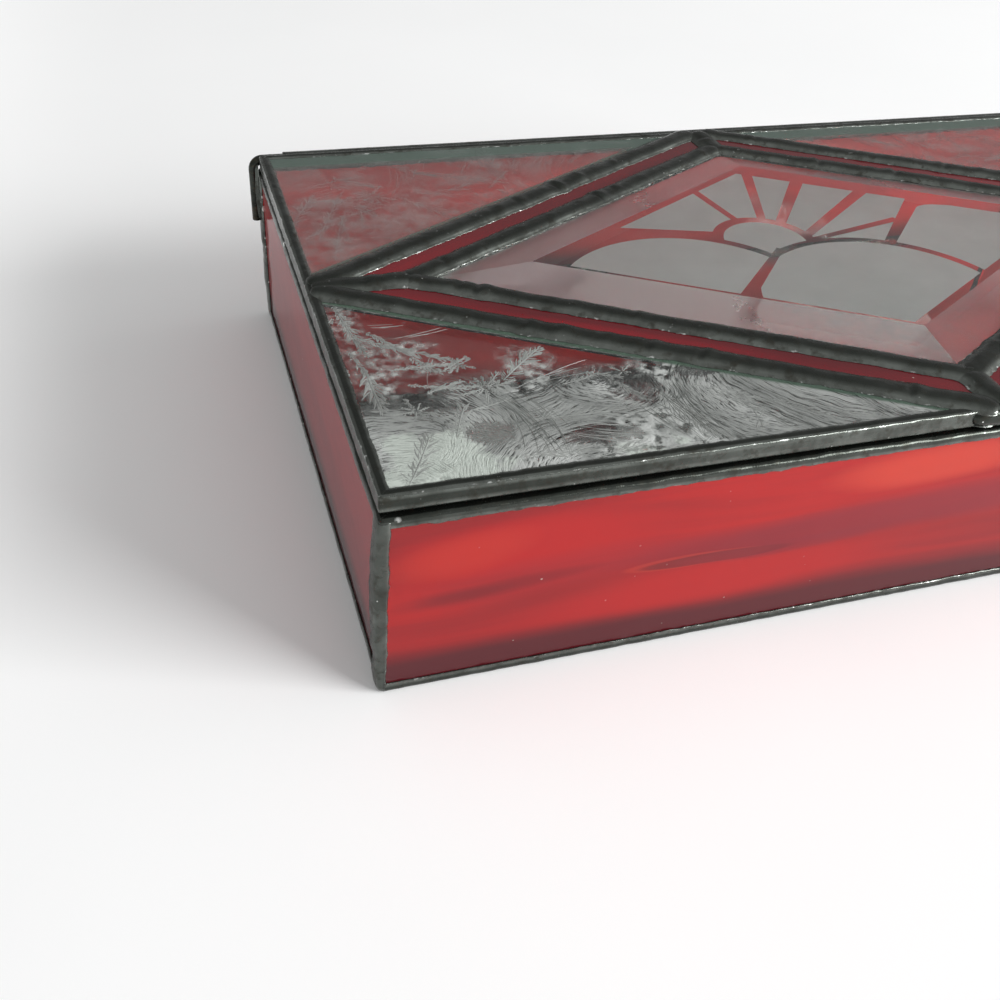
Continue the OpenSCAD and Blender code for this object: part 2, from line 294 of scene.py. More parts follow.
def make_patina_group():
    group, takes = new_group("Patina", {"Place": None, "Crest": 1.0, "Wear": 0.5, "Bare": 0.0},
                             ["Colour", "Roughness", "Height"])
    place, crest = takes["Place"], takes["Crest"]
    clouds = noise_at(place, 160.0, 4.0, 0.6)
    grain = noise_at(place, 1400.0, 3.0, 0.65)
    stains = noise_at(place, 420.0, 3.0, 0.6)
    stained = remap(stains, 0.52, 0.72)
    cloudy = remap(clouds, 0.32, 0.68)
    base = blend(remap(crest, 0.55, 0.90), blend(cloudy, *GREY_FOIL), blend(cloudy, *BLACK_BEAD))
    base = blend(stained * 0.75, base, BROWN_STAIN)

    # Bright tin shows in small broken bits, mostly on the thin edge of the foil
    flecks = noise_at(place, 900.0, 2.0, 0.5)
    breaks = noise_at(place, 230.0, 2.0, 0.5)
    edge_bits = remap(flecks, 0.56, 0.66) * remap(breaks, 0.48, 0.60) * remap(crest, 0.22, 0.02)
    rare_bits = remap(flecks, 0.70, 0.76) * remap(breaks, 0.55, 0.62)
    bright = maths("MULTIPLY", larger(edge_bits, rare_bits), takes["Wear"], clamp=True)
    tin = larger(bright, takes["Bare"] * remap(flecks, 0.40, 0.50))
    return finish_group(group, Colour=blend(tin, base, BRIGHT_TIN),
                        Roughness=remap(clouds, 0.3, 0.7, 0.33, 0.17) + stained * 0.14,
                        Height=stains * 0.7 + grain * 0.3)


patina_group = make_patina_group()

# %% [markdown]
# ## Node group: streaks in art glass
#
# Streaky glass is rolled from two colours that are only half stirred. The darker colour lies in
# long, soft bands and thin wisps along the direction of rolling. A noise stretched along that
# direction gives the bands. Its first input says which way the sheet was rolled, by the place on
# the glass already turned so that X runs along the streaks and Y across them.

# %% Streaks group
def make_streaks_group():
    group, takes = new_group("Streaks", {"Along and across": None, "Seed": 0.0},
                             ["Bands", "Wisps", "Specks"])
    place = takes["Along and across"]
    shifted = vectors("ADD", place, combine(Z=takes["Seed"]))
    bands = noise_at(stretch(shifted, (7.0, 75.0, 1.0)), 1.0, 2.0, 0.5, 0.35)
    wisps = noise_at(stretch(shifted, (22.0, 420.0, 1.0)), 1.0, 3.0, 0.6, 0.2)
    dots = put(group, "TexVoronoi", {"Vector": place, "Scale": 260.0, "Randomness": 1.0})
    few = remap(noise_at(place, 45.0, 2.0, 0.6), 0.54, 0.62)
    return finish_group(group, Bands=remap(bands, 0.36, 0.66, smooth=True),
                        Wisps=remap(wisps, 0.40, 0.70),
                        Specks=remap(dots["Distance"], 0.070, 0.03) * few)


streaks_group = make_streaks_group()

# %% [markdown]
# ## Solder
#
# Every bead is finished by one recipe. It is a metal, so its colour is what it reflects: dark where
# it mirrors the dim room, lighter on upright faces that mirror the pale table. `wear` says how much
# bright tin shows, and the rim also has a few knocks where the tin is bare.

# %% Solder material
def make_solder(name, wear, knocks=()):
    """knocks are places (x, y, z, radius) in mm where a blow has bared the tin."""
    material, place = new_material(name)
    bare = 0.0
    for x, y, z, radius in knocks:
        far = vectors("DISTANCE", place, (x * MM, y * MM, z * MM))
        bare = larger(bare, remap(far, radius * MM, 0.4 * radius * MM))
    inputs = {"Place": place, "Crest": crest_mark(place), "Wear": wear, "Bare": bare}
    patina = put(place.tree, "Group", inputs, node_tree=patina_group)
    return finish_material(material, Base_Color=patina["Colour"], Roughness=patina["Roughness"],
                           Normal=bumped(patina["Height"], 0.40, 0.00022), Metallic=0.9)


RIM_KNOCKS = [(-125.4, -76.0, 44.2, 0.8), (127.0, -76.0, 44.0, 1.2), (-129.0, 30.0, 44.2, 1.1),
              (38.0, -76.0, 42.6, 0.9)]
solder = make_solder("black_patina_solder", 0.9)
worn_solder = make_solder("rubbed_solder", 2.2)
rim_solder = make_solder("knocked_solder", 1.0, RIM_KNOCKS)
print("solder materials ready")

# %% [markdown]
# ## Red glass
#
# The walls are bright red with maroon bands. On the front wall, the bands sit where the real sheet
# has them: a short streak at the left and a lens-shaped wisp in the middle. Near the top it has a
# painted orange highlight. Each is a soft oval mask, made from the distance to its middle measured
# in widths and heights of the oval. Every wall is darker towards its foot. The left wall gets a pale
# mauve veil, a painted reflection of the pale table, and the other walls get bands from noise alone.
# The back and side walls are painted a brighter red, which stands in for the light inside the box.

# %% Red glass material
BRIGHT_RED = (0.560, 0.0065, 0.0065)
MAROON = (0.098, 0.0030, 0.0085)
MAUVE = (0.290, 0.0130, 0.0260)
CORAL = (0.760, 0.0560, 0.0260)
PALE_MAUVE = (0.460, 0.0420, 0.0580)
# Painted light: the back and side walls are a brighter red than the front, standing in for light inside the
# box
PAINTED_GLOW_RED = (0.980, 0.0300, 0.0260)
PALE_SPECK = (0.80, 0.70, 0.66)


def oval(along, across, middle, size, tilt, inner):
    """1 in the middle of a long soft oval, 0 outside; sizes in mm, tilt is rise per length.

    inner is where the oval reaches full strength: near 1 for a crisp edge.
    """
    ahead = along - middle[0] * MM
    du = ahead / (size[0] * MM)
    dv = (across - middle[1] * MM - ahead * tilt) / (size[1] * MM)
    return remap(du * du + dv * dv, 1.0, inner, smooth=True)


def make_red_glass(name, runs_along, seed, patches=(), red=PAINTED_GLOW_RED, passing=0.75):
    """runs_along is the axis of the streaks: X for front and back, Y for the side walls."""
    material, place = new_material(name)
    parts = separate(place)
    along = parts[runs_along]
    uneven = noise_at(stretch(place, (14.0, 14.0, 60.0)), 1.0, 2.0, 0.5)
    height = parts["Z"] + (uneven - 0.5) * 0.006
    inputs = {"Along and across": combine(X=along, Y=height), "Seed": seed}
    streaks = put(place.tree, "Group", inputs, node_tree=streaks_group)

    colour = blend(streaks["Bands"] * 0.42, red, MAROON)
    colour = blend(streaks["Wisps"] * 0.16, colour, MAROON)
    for patch_colour, strength, *shape in patches:
        colour = blend(oval(along, height, *shape) * strength, colour, patch_colour)
    # Every wall is darker towards its foot
    colour = blend(remap(height, 0.0125, 0.0060, smooth=True) * 0.95, colour, MAROON)
    colour = blend(streaks["Specks"], colour, PALE_SPECK)
    swell = noise_at(stretch(place, (60.0, 60.0, 90.0)), 1.0, 2.0, 0.5)
    normal = bumped(swell, 0.12, 0.0012)
    return finish_material(
        material, Base_Color=colour, Roughness=0.55, Transmission_Weight=passing, Specular_IOR_Level=0.0,
        Coat_Weight=0.50, Coat_Roughness=0.03, Coat_IOR=1.5, Normal=normal, Coat_Normal=normal)


# Colour, strength, middle (x, z), size (half width, half height), rise per length, crispness
FRONT_PATCHES = [
    (BRIGHT_RED, 0.95, (-101.0, 33.0), (34.0, 9.0), 0.02, 0.1),
    (BRIGHT_RED, 0.85, (-60.0, 14.5), (52.0, 6.5), 0.02, 0.1),
    (MAUVE, 0.78, (-20.0, 25.5), (72.0, 6.5), 0.02, 0.1),
    (MAUVE, 0.30, (-92.0, 25.0), (38.0, 6.0), 0.05, 0.0),
    (MAROON, 0.42, (-106.0, 23.2), (25.0, 2.6), 0.055, 0.0),
    (MAROON, 0.25, (-112.0, 22.6), (12.0, 1.5), 0.050, 0.0),
    # Painted highlight: a soft orange patch near the top of the front wall
    (CORAL, 0.80, (-12.0, 37.5), (30.0, 5.5), 0.00, 0.1),
    (CORAL, 0.25, (-113.0, 33.0), (17.0, 6.0), 0.12, 0.0),
    (CORAL, 0.26, (-63.5, 21.3), (17.5, 1.9), 0.012, 0.7),
    (MAROON, 0.62, (-59.5, 21.1), (19.0, 1.6), 0.012, 0.6),
    (MAUVE, 0.50, (-45.0, 21.2), (30.0, 2.4), 0.012, 0.2),
]
# Painted reflection of the pale table: a pale mauve veil over the left wall
LEFT_PAINTED_REFLECTION = [(PALE_MAUVE, 0.80, (-30.0, 24.0), (140.0, 40.0), 0.00, 0.3)]
WALL_GLASS = {
    "front": make_red_glass("streaky_red_front", "X", 0.31, FRONT_PATCHES, BRIGHT_RED, 0.42),
    "back": make_red_glass("streaky_red_back", "X", 2.63),
    "left": make_red_glass("streaky_red_left", "Y", 4.17, LEFT_PAINTED_REFLECTION, passing=0.55),
    "right": make_red_glass("streaky_red_right", "Y", 6.89),
}
for side_name, wall_glass in WALL_GLASS.items():
    finish_node(side_name + "_wall", wall_glass)
print("walls finished:", ", ".join(WALL_GLASS))

# %% [markdown]
# ## Mirror in the base
#
# Looking down through the clear corners of the lid, the red back wall is seen upside down in the
# floor of the box, so the base is a mirror. Its face is a smooth metal that gives back nearly all
# light. Its underside is the grey paint that protects the silver, told apart by the direction
# that the face points in.

# %% Mirror material
SILVER = (0.90, 0.92, 0.90)


def make_mirror():
    material, place = new_material("mirror_glass")
    facing = put(place.tree, "NewGeometry")["True Normal"]
    silvered = remap(separate(facing)["Z"], -0.2, 0.2)
    tone = remap(noise_at(place, 30.0, 3.0), 0.3, 0.7, 0.30, 0.36)
    paint = put(place.tree, "CombineColor", {0: tone, 1: tone, 2: tone})[0]
    haze = remap(noise_at(place, 90.0, 4.0), 0.45, 0.75, 0.015, 0.045)
    return finish_material(material, Base_Color=blend(silvered, paint, SILVER), Metallic=silvered,
                           Roughness=remap(silvered, 0.0, 1.0, 0.6, 0.02), Coat_Weight=haze * 2.0)


finish_node("base_mirror", make_mirror())
print("mirror finished")

# %% [markdown]
# ## Soldered seams
#
# A seam is an outline carried along a line, like a skirting board. What makes it look soldered is
# that the outline keeps changing on the way: the bead swells and thins over a centimetre or two,
# its edge wanders where the foil was not pressed quite straight, small lumps sit where the iron
# was lifted, and a crease is left wherever the solder was started again.
#
# `sweep` does the carrying. It asks a `shape` function where each point of the outline goes at each
# station. Each outline point holds (across, up, crest), in millimetres and from 0 on the foil edge
# to 1 on the crest.

# %% Sweep
def ring_faces(rows, count, closed=False):
    """Quads between neighbouring rows of points, where each row is a ring of count points."""
    faces = []
    for row in range(rows if closed else rows - 1):
        low, high = row * count, (row + 1) % rows * count
        for i in range(count):
            j = (i + 1) % count
            faces.append((low + i, low + j, high + j, high + i))
    return faces


def outward(points, faces, crests):
    """The closed part, with all faces turned round if it is inside out."""
    volume = 0.0
    for face in faces:
        a = Vector(points[face[0]])
        for i in range(1, len(face) - 1):
            volume += a.dot(Vector(points[face[i]]).cross(Vector(points[face[i + 1]])))
    if volume < 0:
        faces = [tuple(reversed(face)) for face in faces]
    return points, faces, crests


def sweep(outline, stations, shape):
    """A closed outline carried through all stations: points, faces and crest marks."""
    count = len(outline)
    points = [shape(station, *place) for station in stations for place in outline]
    faces = ring_faces(len(stations), count)
    faces += [tuple(reversed(range(count))), tuple(range(len(points) - count, len(points)))]
    return outward(points, faces, [crest for _ in stations for _, _, crest in outline])


def evenly(count):
    return [i / count for i in range(count + 1)]


def joined(parts):
    """Several parts as one."""
    points, faces, crests = [], [], []
    for part_points, part_faces, part_crests in parts:
        shift = len(points)
        points += part_points
        faces += [tuple(i + shift for i in face) for face in part_faces]
        crests += part_crests
    return points, faces, crests


print("a ring of 4 points carried through 3 stations makes", len(ring_faces(3, 4)), "quads")


# %% Curves and unevenness
def bow(x, y, rx, ry, start, step, count, crest=1.0, fade=0.0):
    """Points of an outline on an arc round (x, y), its start and step in degrees."""
    points = []
    for i in range(count):
        a = math.radians(start + step * i)
        points.append((x + rx * math.cos(a), y + ry * math.sin(a), crest + fade * i))
    return points


def ripple(distance, scale, seed):
    """Smooth random wave from about -1 to 1 with bumps roughly `scale` mm long."""
    return 1.6 * noise.noise(Vector((distance / scale, 3.7 * seed + 0.37, 1.3 * seed + 0.71)))


def ragged(s, side, seed):
    """Unevenness of a cut foil edge, in millimetres."""
    return 0.075 * ripple(s, 1.5, seed + 5 * side) + 0.05 * ripple(s, 0.8, seed + 9 * side)


def bell(x, middle, size):
    """Soft bump of height 1 at the middle."""
    return math.exp(-((x - middle) / size) ** 2)


def rounded(distance, reach):
    """Rises from 0 at an end, along a quarter circle, to 1 at the reach."""
    return math.sqrt(max(1 - (1 - min(distance / reach, 1.0)) ** 2, 0.0))


print("an end rounds off like this:", [round(rounded(d, 2.0), 2) for d in steps(0.0, 2.0, 0.5)])


# %% Lumps of a hand-run bead
def bead_lumps(length, seed, creases):
    """Gives a function of the distance that tells width and height factors and the wander."""
    draw = random.Random(seed)
    starts = [draw.uniform(0.06, 0.94) * length for _ in range(creases)]
    depths = [draw.uniform(0.16, 0.36) for _ in starts]
    bumps = [(draw.uniform(0, length), draw.uniform(0.8, 2.0), draw.uniform(0.05, 0.16))
             for _ in range(int(length / 14))]

    def lumps(s):
        width = 1 + 0.055 * ripple(s, 11, seed) + 0.035 * ripple(s, 3.6, seed + 0.2)
        height = 1 + 0.10 * ripple(s, 15, seed + 0.4) + 0.07 * ripple(s, 4.4, seed + 0.6)
        for start, depth in zip(starts, depths):
            height += depth * (0.7 * bell(s - start, 1.5, 1.4) - bell(s - start, 0.0, 0.55))
            width += 0.35 * depth * bell(s - start, 1.6, 1.8)
        for middle, size, rise in bumps:
            height += rise * bell(s, middle, size)
        wander = 0.16 * ripple(s, 17, seed + 0.8) + 0.07 * ripple(s, 5, seed + 0.9)
        return width, height, wander

    return lumps


print("sweep ready")

# %% [markdown]
# ## Seams around the body
#
# The walls have three kinds of seam, all with one flat foil side outside:
#
# - rim: foil folded over the top edge of each wall and tinned,
# - base: a band up the wall, a foot under the mirror and a rounded run in the angle inside,
# - corner: a wide lumpy bead folded round the upright edge.
#
# Rim and base meet the next side at a mitre. The outer edge there is rounded by letting the
# outline follow a small arc over the last millimetre. The channel round the lid is made by the
# same function.

# %% Mitred side of a frame
BODY_FRAME = (BOX_W, BOX_D, 0.0, 1.2, 0.8)
LID_FRAME = (LID_W, 2 * HALF_D, LID_MID, 0.8, 0.7)
STATIONS_IN_CORNER = [0.0, 0.15, 0.35, 0.6, 0.9, 1.25]


def mitred_side(name, outline, frame_sizes, floor_z, make_wobble, seed):
    """One side of a frame of four: an outline of (inward, up, crest) carried along it.

    frame_sizes are width, depth, middle in Y, corner radius and pitch of the stations. The wobble
    function takes (distance along, inward, up, crest) and gives changes of inward and up.
    """
    width, depth, middle_y, corner_r, pitch = frame_sizes
    runs_x = name in ("front", "back")
    length = width if runs_x else depth
    reach = (depth if runs_x else width) / 2
    sign = SIDES[name]
    wobble = make_wobble(seed, length)

    def shape(s, inward, up, crest):
        d_in, d_up = wobble(s * length, inward, up, crest)
        inward, up = inward + d_in, up + d_up
        radius = max(corner_r - inward, 0.0)
        start = inward + radius * (1 - math.sqrt(0.5))
        along = start + s * (length - 2 * start)
        near = min(along, length - along)
        pull = 0.0
        if near < corner_r and radius > 0:
            pull = radius - math.sqrt(max(radius ** 2 - (corner_r - near) ** 2, 0.0))
        across = sign * (reach - inward - pull)
        place = along - length / 2
        if runs_x:
            return (place, middle_y + across, floor_z + up)
        return (across, middle_y + place, floor_z + up)

    ends = STATIONS_IN_CORNER
    stations = ends + steps(1.7, length - 1.7, pitch) + [length - e for e in reversed(ends)]
    return sweep(outline, [v / length for v in stations], shape)


print(len(STATIONS_IN_CORNER), "stations in the last", STATIONS_IN_CORNER[-1], "mm of each corner")


# %% Rim seams
def rim_outline():
    r, top, inner = 0.95, BAND_H, WALL_IN + SKIN
    hidden_in, hidden_out = WALL_IN - TUCK, SKIN + TUCK
    outline = [(0.10, 0.00, 0.0), (0.02, 0.12, 0.12), (0.0, 0.55, 0.5), (0.0, 0.95, 0.8)]
    outline += bow(r, top - r, -r, r, 0, 22.5, 5, 0.8, 0.05) + [(1.6, top, 1.0), (2.4, top, 1.0)]
    outline += bow(inner - r, top - r, r, r, 90, -22.5, 5, 1.0, -0.05)
    outline += [(inner, 0.12, 0.1), (inner - 0.1, 0.0, 0.0), (hidden_in, 0.0, 0.0)]
    outline += [(hidden_in, top - SKIN - TUCK, 0.2), (hidden_out, top - SKIN - TUCK, 0.2)]
    return outline + [(hidden_out, 0.0, 0.0)]


def rim_wobble(seed, _):
    def wobble(s, inward, up, crest):
        d_in = d_up = 0.0
        if inward < SKIN or inward > WALL_IN:
            side = 1 if inward < SKIN else 2
            dent = 0.07 + 0.06 * ripple(s, 6, seed + side) + 0.04 * ripple(s, 2.2, seed + 3 * side)
            d_in = max(dent, 0.0) * (1 if side == 1 else -1)
            if up < 0.3:
                d_up = 2.2 * ragged(s, side, seed) + 0.12 * ripple(s, 9, seed + side)
        if up > 1.9:
            d_up = -0.10 + 0.09 * ripple(s, 7, seed + 6) + 0.05 * ripple(s, 2.4, seed + 7)
            d_up = min(d_up, 0.0)
        return d_in, d_up
    return wobble


for seed, side_name in enumerate(SIDES, start=11):
    part = mitred_side(side_name, rim_outline(), BODY_FRAME, BODY_H - BAND_H, rim_wobble, seed)
    add_piece("soldered_rim_" + side_name, part, "body", "solder", "rim_seam_" + side_name, rim_solder)
print("rim seams built")

# %% Base seams
def base_outline():
    foot = BASE_IN + 2.3
    outline = [(SKIN + TUCK, BAND_H, 0.0), (0.10, BAND_H, 0.0), (0.02, BAND_H - 0.12, 0.1),
               (0.0, 1.75, 0.6), (0.0, 1.2, 0.9), (0.04, 0.6, 1.0), (0.2, 0.25, 1.0), (0.6, 0.05, 1.0),
               (1.2, 0.0, 1.0), (foot - 0.8, 0.0, 1.0), (foot - 0.1, 0.12, 0.4), (foot, 0.3, 0.1),
               (foot, SKIN + TUCK, 0.0), (BASE_IN + TUCK, SKIN + TUCK, 0.2),
               (BASE_IN + TUCK, MIRROR_TOP - TUCK, 0.2)]
    outline += [(x, z, 0.2 * min(i, 5 - i))
                for i, (x, z, _) in enumerate(bow(WALL_IN, MIRROR_TOP, 2.0, 2.0, 0, 18, 6))]
    outline += [(WALL_IN - TUCK, MIRROR_TOP + 2.0, 0.0), (WALL_IN - TUCK, SKIN - TUCK, 0.2)]
    return outline + [(SKIN + TUCK, SKIN - TUCK, 0.2)]


def base_wobble(seed, _):
    def wobble(s, inward, up, crest):
        d_in = d_up = 0.0
        if inward < SKIN and up > 0.1:
            d_in = max(0.08 + 0.06 * ripple(s, 5, seed) + 0.05 * ripple(s, 2.0, seed + 1), 0.0)
            if up > BAND_H - 0.3:
                d_up = 2.0 * ragged(s, 1, seed) + 0.14 * ripple(s, 8, seed + 2)
        if inward > WALL_IN and up > MIRROR_TOP:
            swell = 0.16 * ripple(s, 8, seed + 3) + 0.1 * ripple(s, 3, seed + 4)
            d_in, d_up = swell * crest, swell * crest
        return d_in, d_up
    return wobble


for seed, side_name in enumerate(SIDES, start=31):
    part = mitred_side(side_name, base_outline(), BODY_FRAME, 0.0, base_wobble, seed)
    add_piece("soldered_foot_" + side_name, part, "body", "solder", "base_seam_" + side_name, solder)
print("base seams built")

# %% [markdown]
# ## Corner seams
#
# The corner beads were run upright, so the solder sagged into swellings on its way down. Each is a
# folded band outside, narrow on the front and bulging on the side face, and a small round run in
# the angle inside. The two at the back also hold the legs of the hinge rod in a saddle of solder
# that reaches up to the bend.

# %% Corner seams
CORNER_FOOT, CORNER_RUN = 0.35, BODY_H - 1.15
SIDE_LAP, CORNER_R = 2.3, 1.0
HUMP_TOP, WIDEST_AT, MOST_PROUD = 43.0, 30, 2.2
SADDLE_OUT, SADDLE_BACK = 1.9, 76.3


def corner_outline():
    r = CORNER_R
    outline = [(SIDE_LAP, SKIN + TUCK, 0.0), (SKIN + TUCK, SKIN + TUCK, 0.2),
               (SKIN + TUCK, CORNER_LAP, 0.0), (0.30, CORNER_LAP, 0.0), (0.12, CORNER_LAP - 0.25, 0.2),
               (0.0, CORNER_LAP - 1.1, 0.6), (-0.05, 2.2, 1.0)]
    outline += bow(r, r, -r, -r, 0, 22.5, 5)
    return outline + [(1.5, -0.05, 1.0), (SIDE_LAP - 0.4, 0.0, 0.6), (SIDE_LAP - 0.1, 0.12, 0.2),
                      (SIDE_LAP, 0.30, 0.0)]


def corner_shape(sx, sy, seed):
    swelling = 1.0 if sy < 0 else 0.25

    def shape(s, a, b, crest):
        z = CORNER_FOOT + s * CORNER_RUN
        close = rounded(min(s, 1 - s) * CORNER_RUN, 1.4)
        lift = 0.10 + 0.16 * ripple(z, 6.5, seed) + 0.10 * ripple(z, 2.6, seed + 1)
        lift = min(max(lift + 0.16 * bell(z, WIDEST_AT, 7), -0.05), 0.34)
        proud = crest * lift * close + (1 - close) * -0.25 * crest
        spread = 1 + 0.07 * ripple(z, 7, seed + 2) + 0.06 * bell(z, WIDEST_AT, 8)
        hump = math.sin(math.pi * (z / HUMP_TOP) ** 0.85) ** 0.7 if z < HUMP_TOP else 0.0
        hump *= swelling * (1.15 + 0.35 * ripple(z, 8, seed + 3) + 0.20 * ripple(z, 3.5, seed + 4))
        if a > 1.2:
            a = a * spread * (0.60 + 0.40 * z / BODY_H) + 2.0 * ragged(z, 1, seed) * (1 - crest)
        if b > 1.5:
            b = b * (2 - spread) + 2.0 * ragged(z, 2, seed) * (1 - crest)
        if a < SKIN:
            bulge = 0.35 + 0.65 * math.sin(math.pi * min(b / CORNER_LAP, 1.0))
            a -= proud + max(hump, 0.0) * crest * bulge
        if b < SKIN:
            b -= proud
        return (sx * (BOX_W / 2 - max(a, -MOST_PROUD)), sy * (BOX_D / 2 - b), z)
    return shape


def inner_corner_part(sx, sy, seed):
    outline = [(WALL_IN - TUCK, WALL_IN - TUCK, 0.5), (CORNER_LAP + 0.1, WALL_IN - TUCK, 0.0)]
    outline += bow(WALL_IN, WALL_IN, 1.2, 1.2, 18, 18, 4) + [(WALL_IN - TUCK, CORNER_LAP + 0.1, 0.0)]

    def shape(s, a, b, crest):
        z = MIRROR_TOP + 0.5 + s * (BODY_H - 1.2 - MIRROR_TOP)
        swell = 1 + crest * (0.07 * ripple(z, 6, seed) + 0.05 * ripple(z, 2.5, seed + 1))
        return (sx * (BOX_W / 2 - a * swell), sy * (BOX_D / 2 - b * swell), z)

    return sweep(outline, evenly(36), shape)


def leg_saddle_part(sx, seed):
    """Lump of solder that wraps the rod's leg against the side face of a back corner."""
    low, high = HINGE_Z - LEG_L + 0.2, BODY_H + 1.6
    outline = [(0.0, -2.6, 0.1), (0.05, -2.6, 0.0)] + bow(0.25, 0.0, 1.15, 1.75, -90, 22.5, 9)
    outline += [(0.05, 1.9, 0.0), (0.0, 1.9, 0.1)]

    def shape(s, out, y, crest):
        z = low + s * (high - low)
        end = math.sqrt(max(1 - abs(2 * s - 1) ** 5, 0.0))
        lump = 1 + 0.10 * ripple(z, 3.5, seed) + 0.06 * ripple(z, 1.6, seed + 1)
        out = out if out <= 0 else out * (0.45 + 0.55 * end) * lump
        back = min(HINGE_Y + y * (0.6 + 0.4 * end), SADDLE_BACK)
        return (sx * (BOX_W / 2 + min(out, SADDLE_OUT)), back, z)

    return sweep(outline, evenly(24), shape)


def make_corner(front_back, left_right, seed):
    sx, sy = SIDES[left_right], SIDES[front_back]
    ends = [0.0, 0.1, 0.3, 0.6, 1.0]
    stations = [v / CORNER_RUN for v in ends + steps(1.5, BODY_H - 2.65, 0.7)]
    stations += [1 - v / CORNER_RUN for v in reversed(ends)]
    parts = [sweep(corner_outline(), stations, corner_shape(sx, sy, seed)),
             inner_corner_part(sx, sy, seed + 0.5)]
    if front_back == "back":
        parts.append(leg_saddle_part(sx, seed + 0.7))
    points, faces, crests = joined(parts)
    name = f"{front_back}_{left_right}"
    # Painted reflection of the pale table: crest marks are capped at 0.72, so the upright corner beads are a
    # lighter grey
    add_piece("corner_bead_" + name, (points, faces, [min(crest, 0.72) for crest in crests]),
              "body", "solder", "corner_seam_" + name, worn_solder)


for seed, quarter in enumerate(QUARTERS, start=51):
    make_corner(*quarter, seed)
print("corner seams built")

# %% [markdown]
# ## Hinge
#
# The hinge is the oldest trick of box makers: a brass rod inside a brass tube. The tube is soldered
# along the back edge of the lid, and the rod turns inside it. At each end the rod is bent down and
# its leg is soldered to the side of the box. The rod is a circle swept along its own path. The
# tube is a ring outline turned about its axis, so that its open ends show the real wall.

# %% Brass with patina
def make_brass():
    material, place = new_material("darkened_brass")
    patina = put(place.tree, "Group", {"Place": place, "Crest": 1.0, "Wear": 0.3}, node_tree=patina_group)
    drawn = noise_at(stretch(place, (12.0, 500.0, 500.0)), 1.0, 3.0)
    colour = blend(remap(drawn, 0.54, 0.76) * 0.30, patina["Colour"], (0.30, 0.22, 0.11))
    return finish_material(material, Base_Color=colour, Roughness=patina["Roughness"], Metallic=0.9,
                           Normal=bumped(patina["Height"], 0.3, 0.0002))


brass = make_brass()
print("brass ready")


# %% Rod and tube
def rod_path():
    """Points along the middle of the rod, from the foot of one leg to the other."""
    foot = HINGE_Z - LEG_L
    half = [(LEG_X, foot + 0.05), (LEG_X, foot + 6), (LEG_X, HINGE_Z - BEND_R)]
    half += [(x, z) for x, z, _ in bow(LEG_X - BEND_R, HINGE_Z - BEND_R, BEND_R, BEND_R, 11.25, 11.25, 8)]
    half += [(LEG_X - BEND_R - 20, HINGE_Z), (60, HINGE_Z)]
    return [(-x, z) for x, z in half] + [(0, HINGE_Z)] + list(reversed(half))


def make_rod():
    path, sides = rod_path(), 20
    circle = [(math.cos(math.tau * k / sides), math.sin(math.tau * k / sides), 1.0) for k in range(sides)]

    def shape(i, beside, above, crest):
        x, z = path[i]
        before, after = path[max(i - 1, 0)], path[min(i + 1, len(path) - 1)]
        heading = Vector((after[0] - before[0], 0, after[1] - before[1])).normalized()
        offset = heading.cross(Vector((0, 1, 0))).normalized() * beside * ROD_R
        return (x + offset.x, HINGE_Y + above * ROD_R, z + offset.z)

    part = sweep(circle, range(len(path)), shape)
    add_piece("bent_rod", part, "body", "dark_brass", "hinge_rod", brass)


def make_tube():
    end, sides = TUBE_L / 2, 28
    outline = [(-end, TUBE_BORE_R), (-end, TUBE_R - 0.1), (-end + 0.1, TUBE_R)]
    outline += [(x, TUBE_R) for x in steps(-end + 1, end - 1, 8)]
    outline += [(end - 0.1, TUBE_R), (end, TUBE_R - 0.1), (end, TUBE_BORE_R)]
    points = []
    for k in range(sides):
        a = math.tau * k / sides
        points += [(x, HINGE_Y + r * math.cos(a), HINGE_Z + r * math.sin(a)) for x, r in outline]
    part = outward(points, ring_faces(sides, len(outline), closed=True), [1.0] * len(points))
    add_piece("lid_tube", part, "lid", "dark_brass", "hinge_tube", brass)


make_rod()
make_tube()
print("rod and tube built")

# %% Solder between tube and lid
def make_tube_solder():
    """Two uneven runs of solder, above and below the tube, against the lid's back edge."""
    outline = [(-1.75, 0.3, 0.2), (-1.75, 1.65, 0.5), (-1.2, 1.68, 0.8), (-0.7, 1.66, 0.9),
               (-0.2, 1.64, 0.6), (0.15, 1.60, 0.1), (-0.4, 1.35, 0.2), (-0.9, 0.9, 0.2),
               (-1.25, 0.35, 0.2)]
    parts = []
    for sign in (1, -1):
        def shape(s, y, z, crest):
            x = (s - 0.5) * (TUBE_L - 1.0)
            swell = 1 + crest * (0.05 * ripple(x, 6, 70 + sign) + 0.04 * ripple(x, 2.2, 72 + sign))
            return (x, HINGE_Y + y, HINGE_Z + sign * z * swell)

        parts.append(sweep(outline, evenly(280), shape))
    add_piece("tube_solder", joined(parts), "lid", "solder", "hinge_solder", solder)


make_tube_solder()
print("hinge finished")

# %% [markdown]
# ## Tinned channel round the lid
#
# The lid's edge is foil folded over the glass: a flat face outside, a lap on top whose inner edge
# is ragged, and a low bead beneath that rests on the rim. It is four mitred sides, like a picture
# frame, made with the same side function as the rim. The front edge is painted lighter towards the
# middle on its face and underside, a painted sheen of the window.

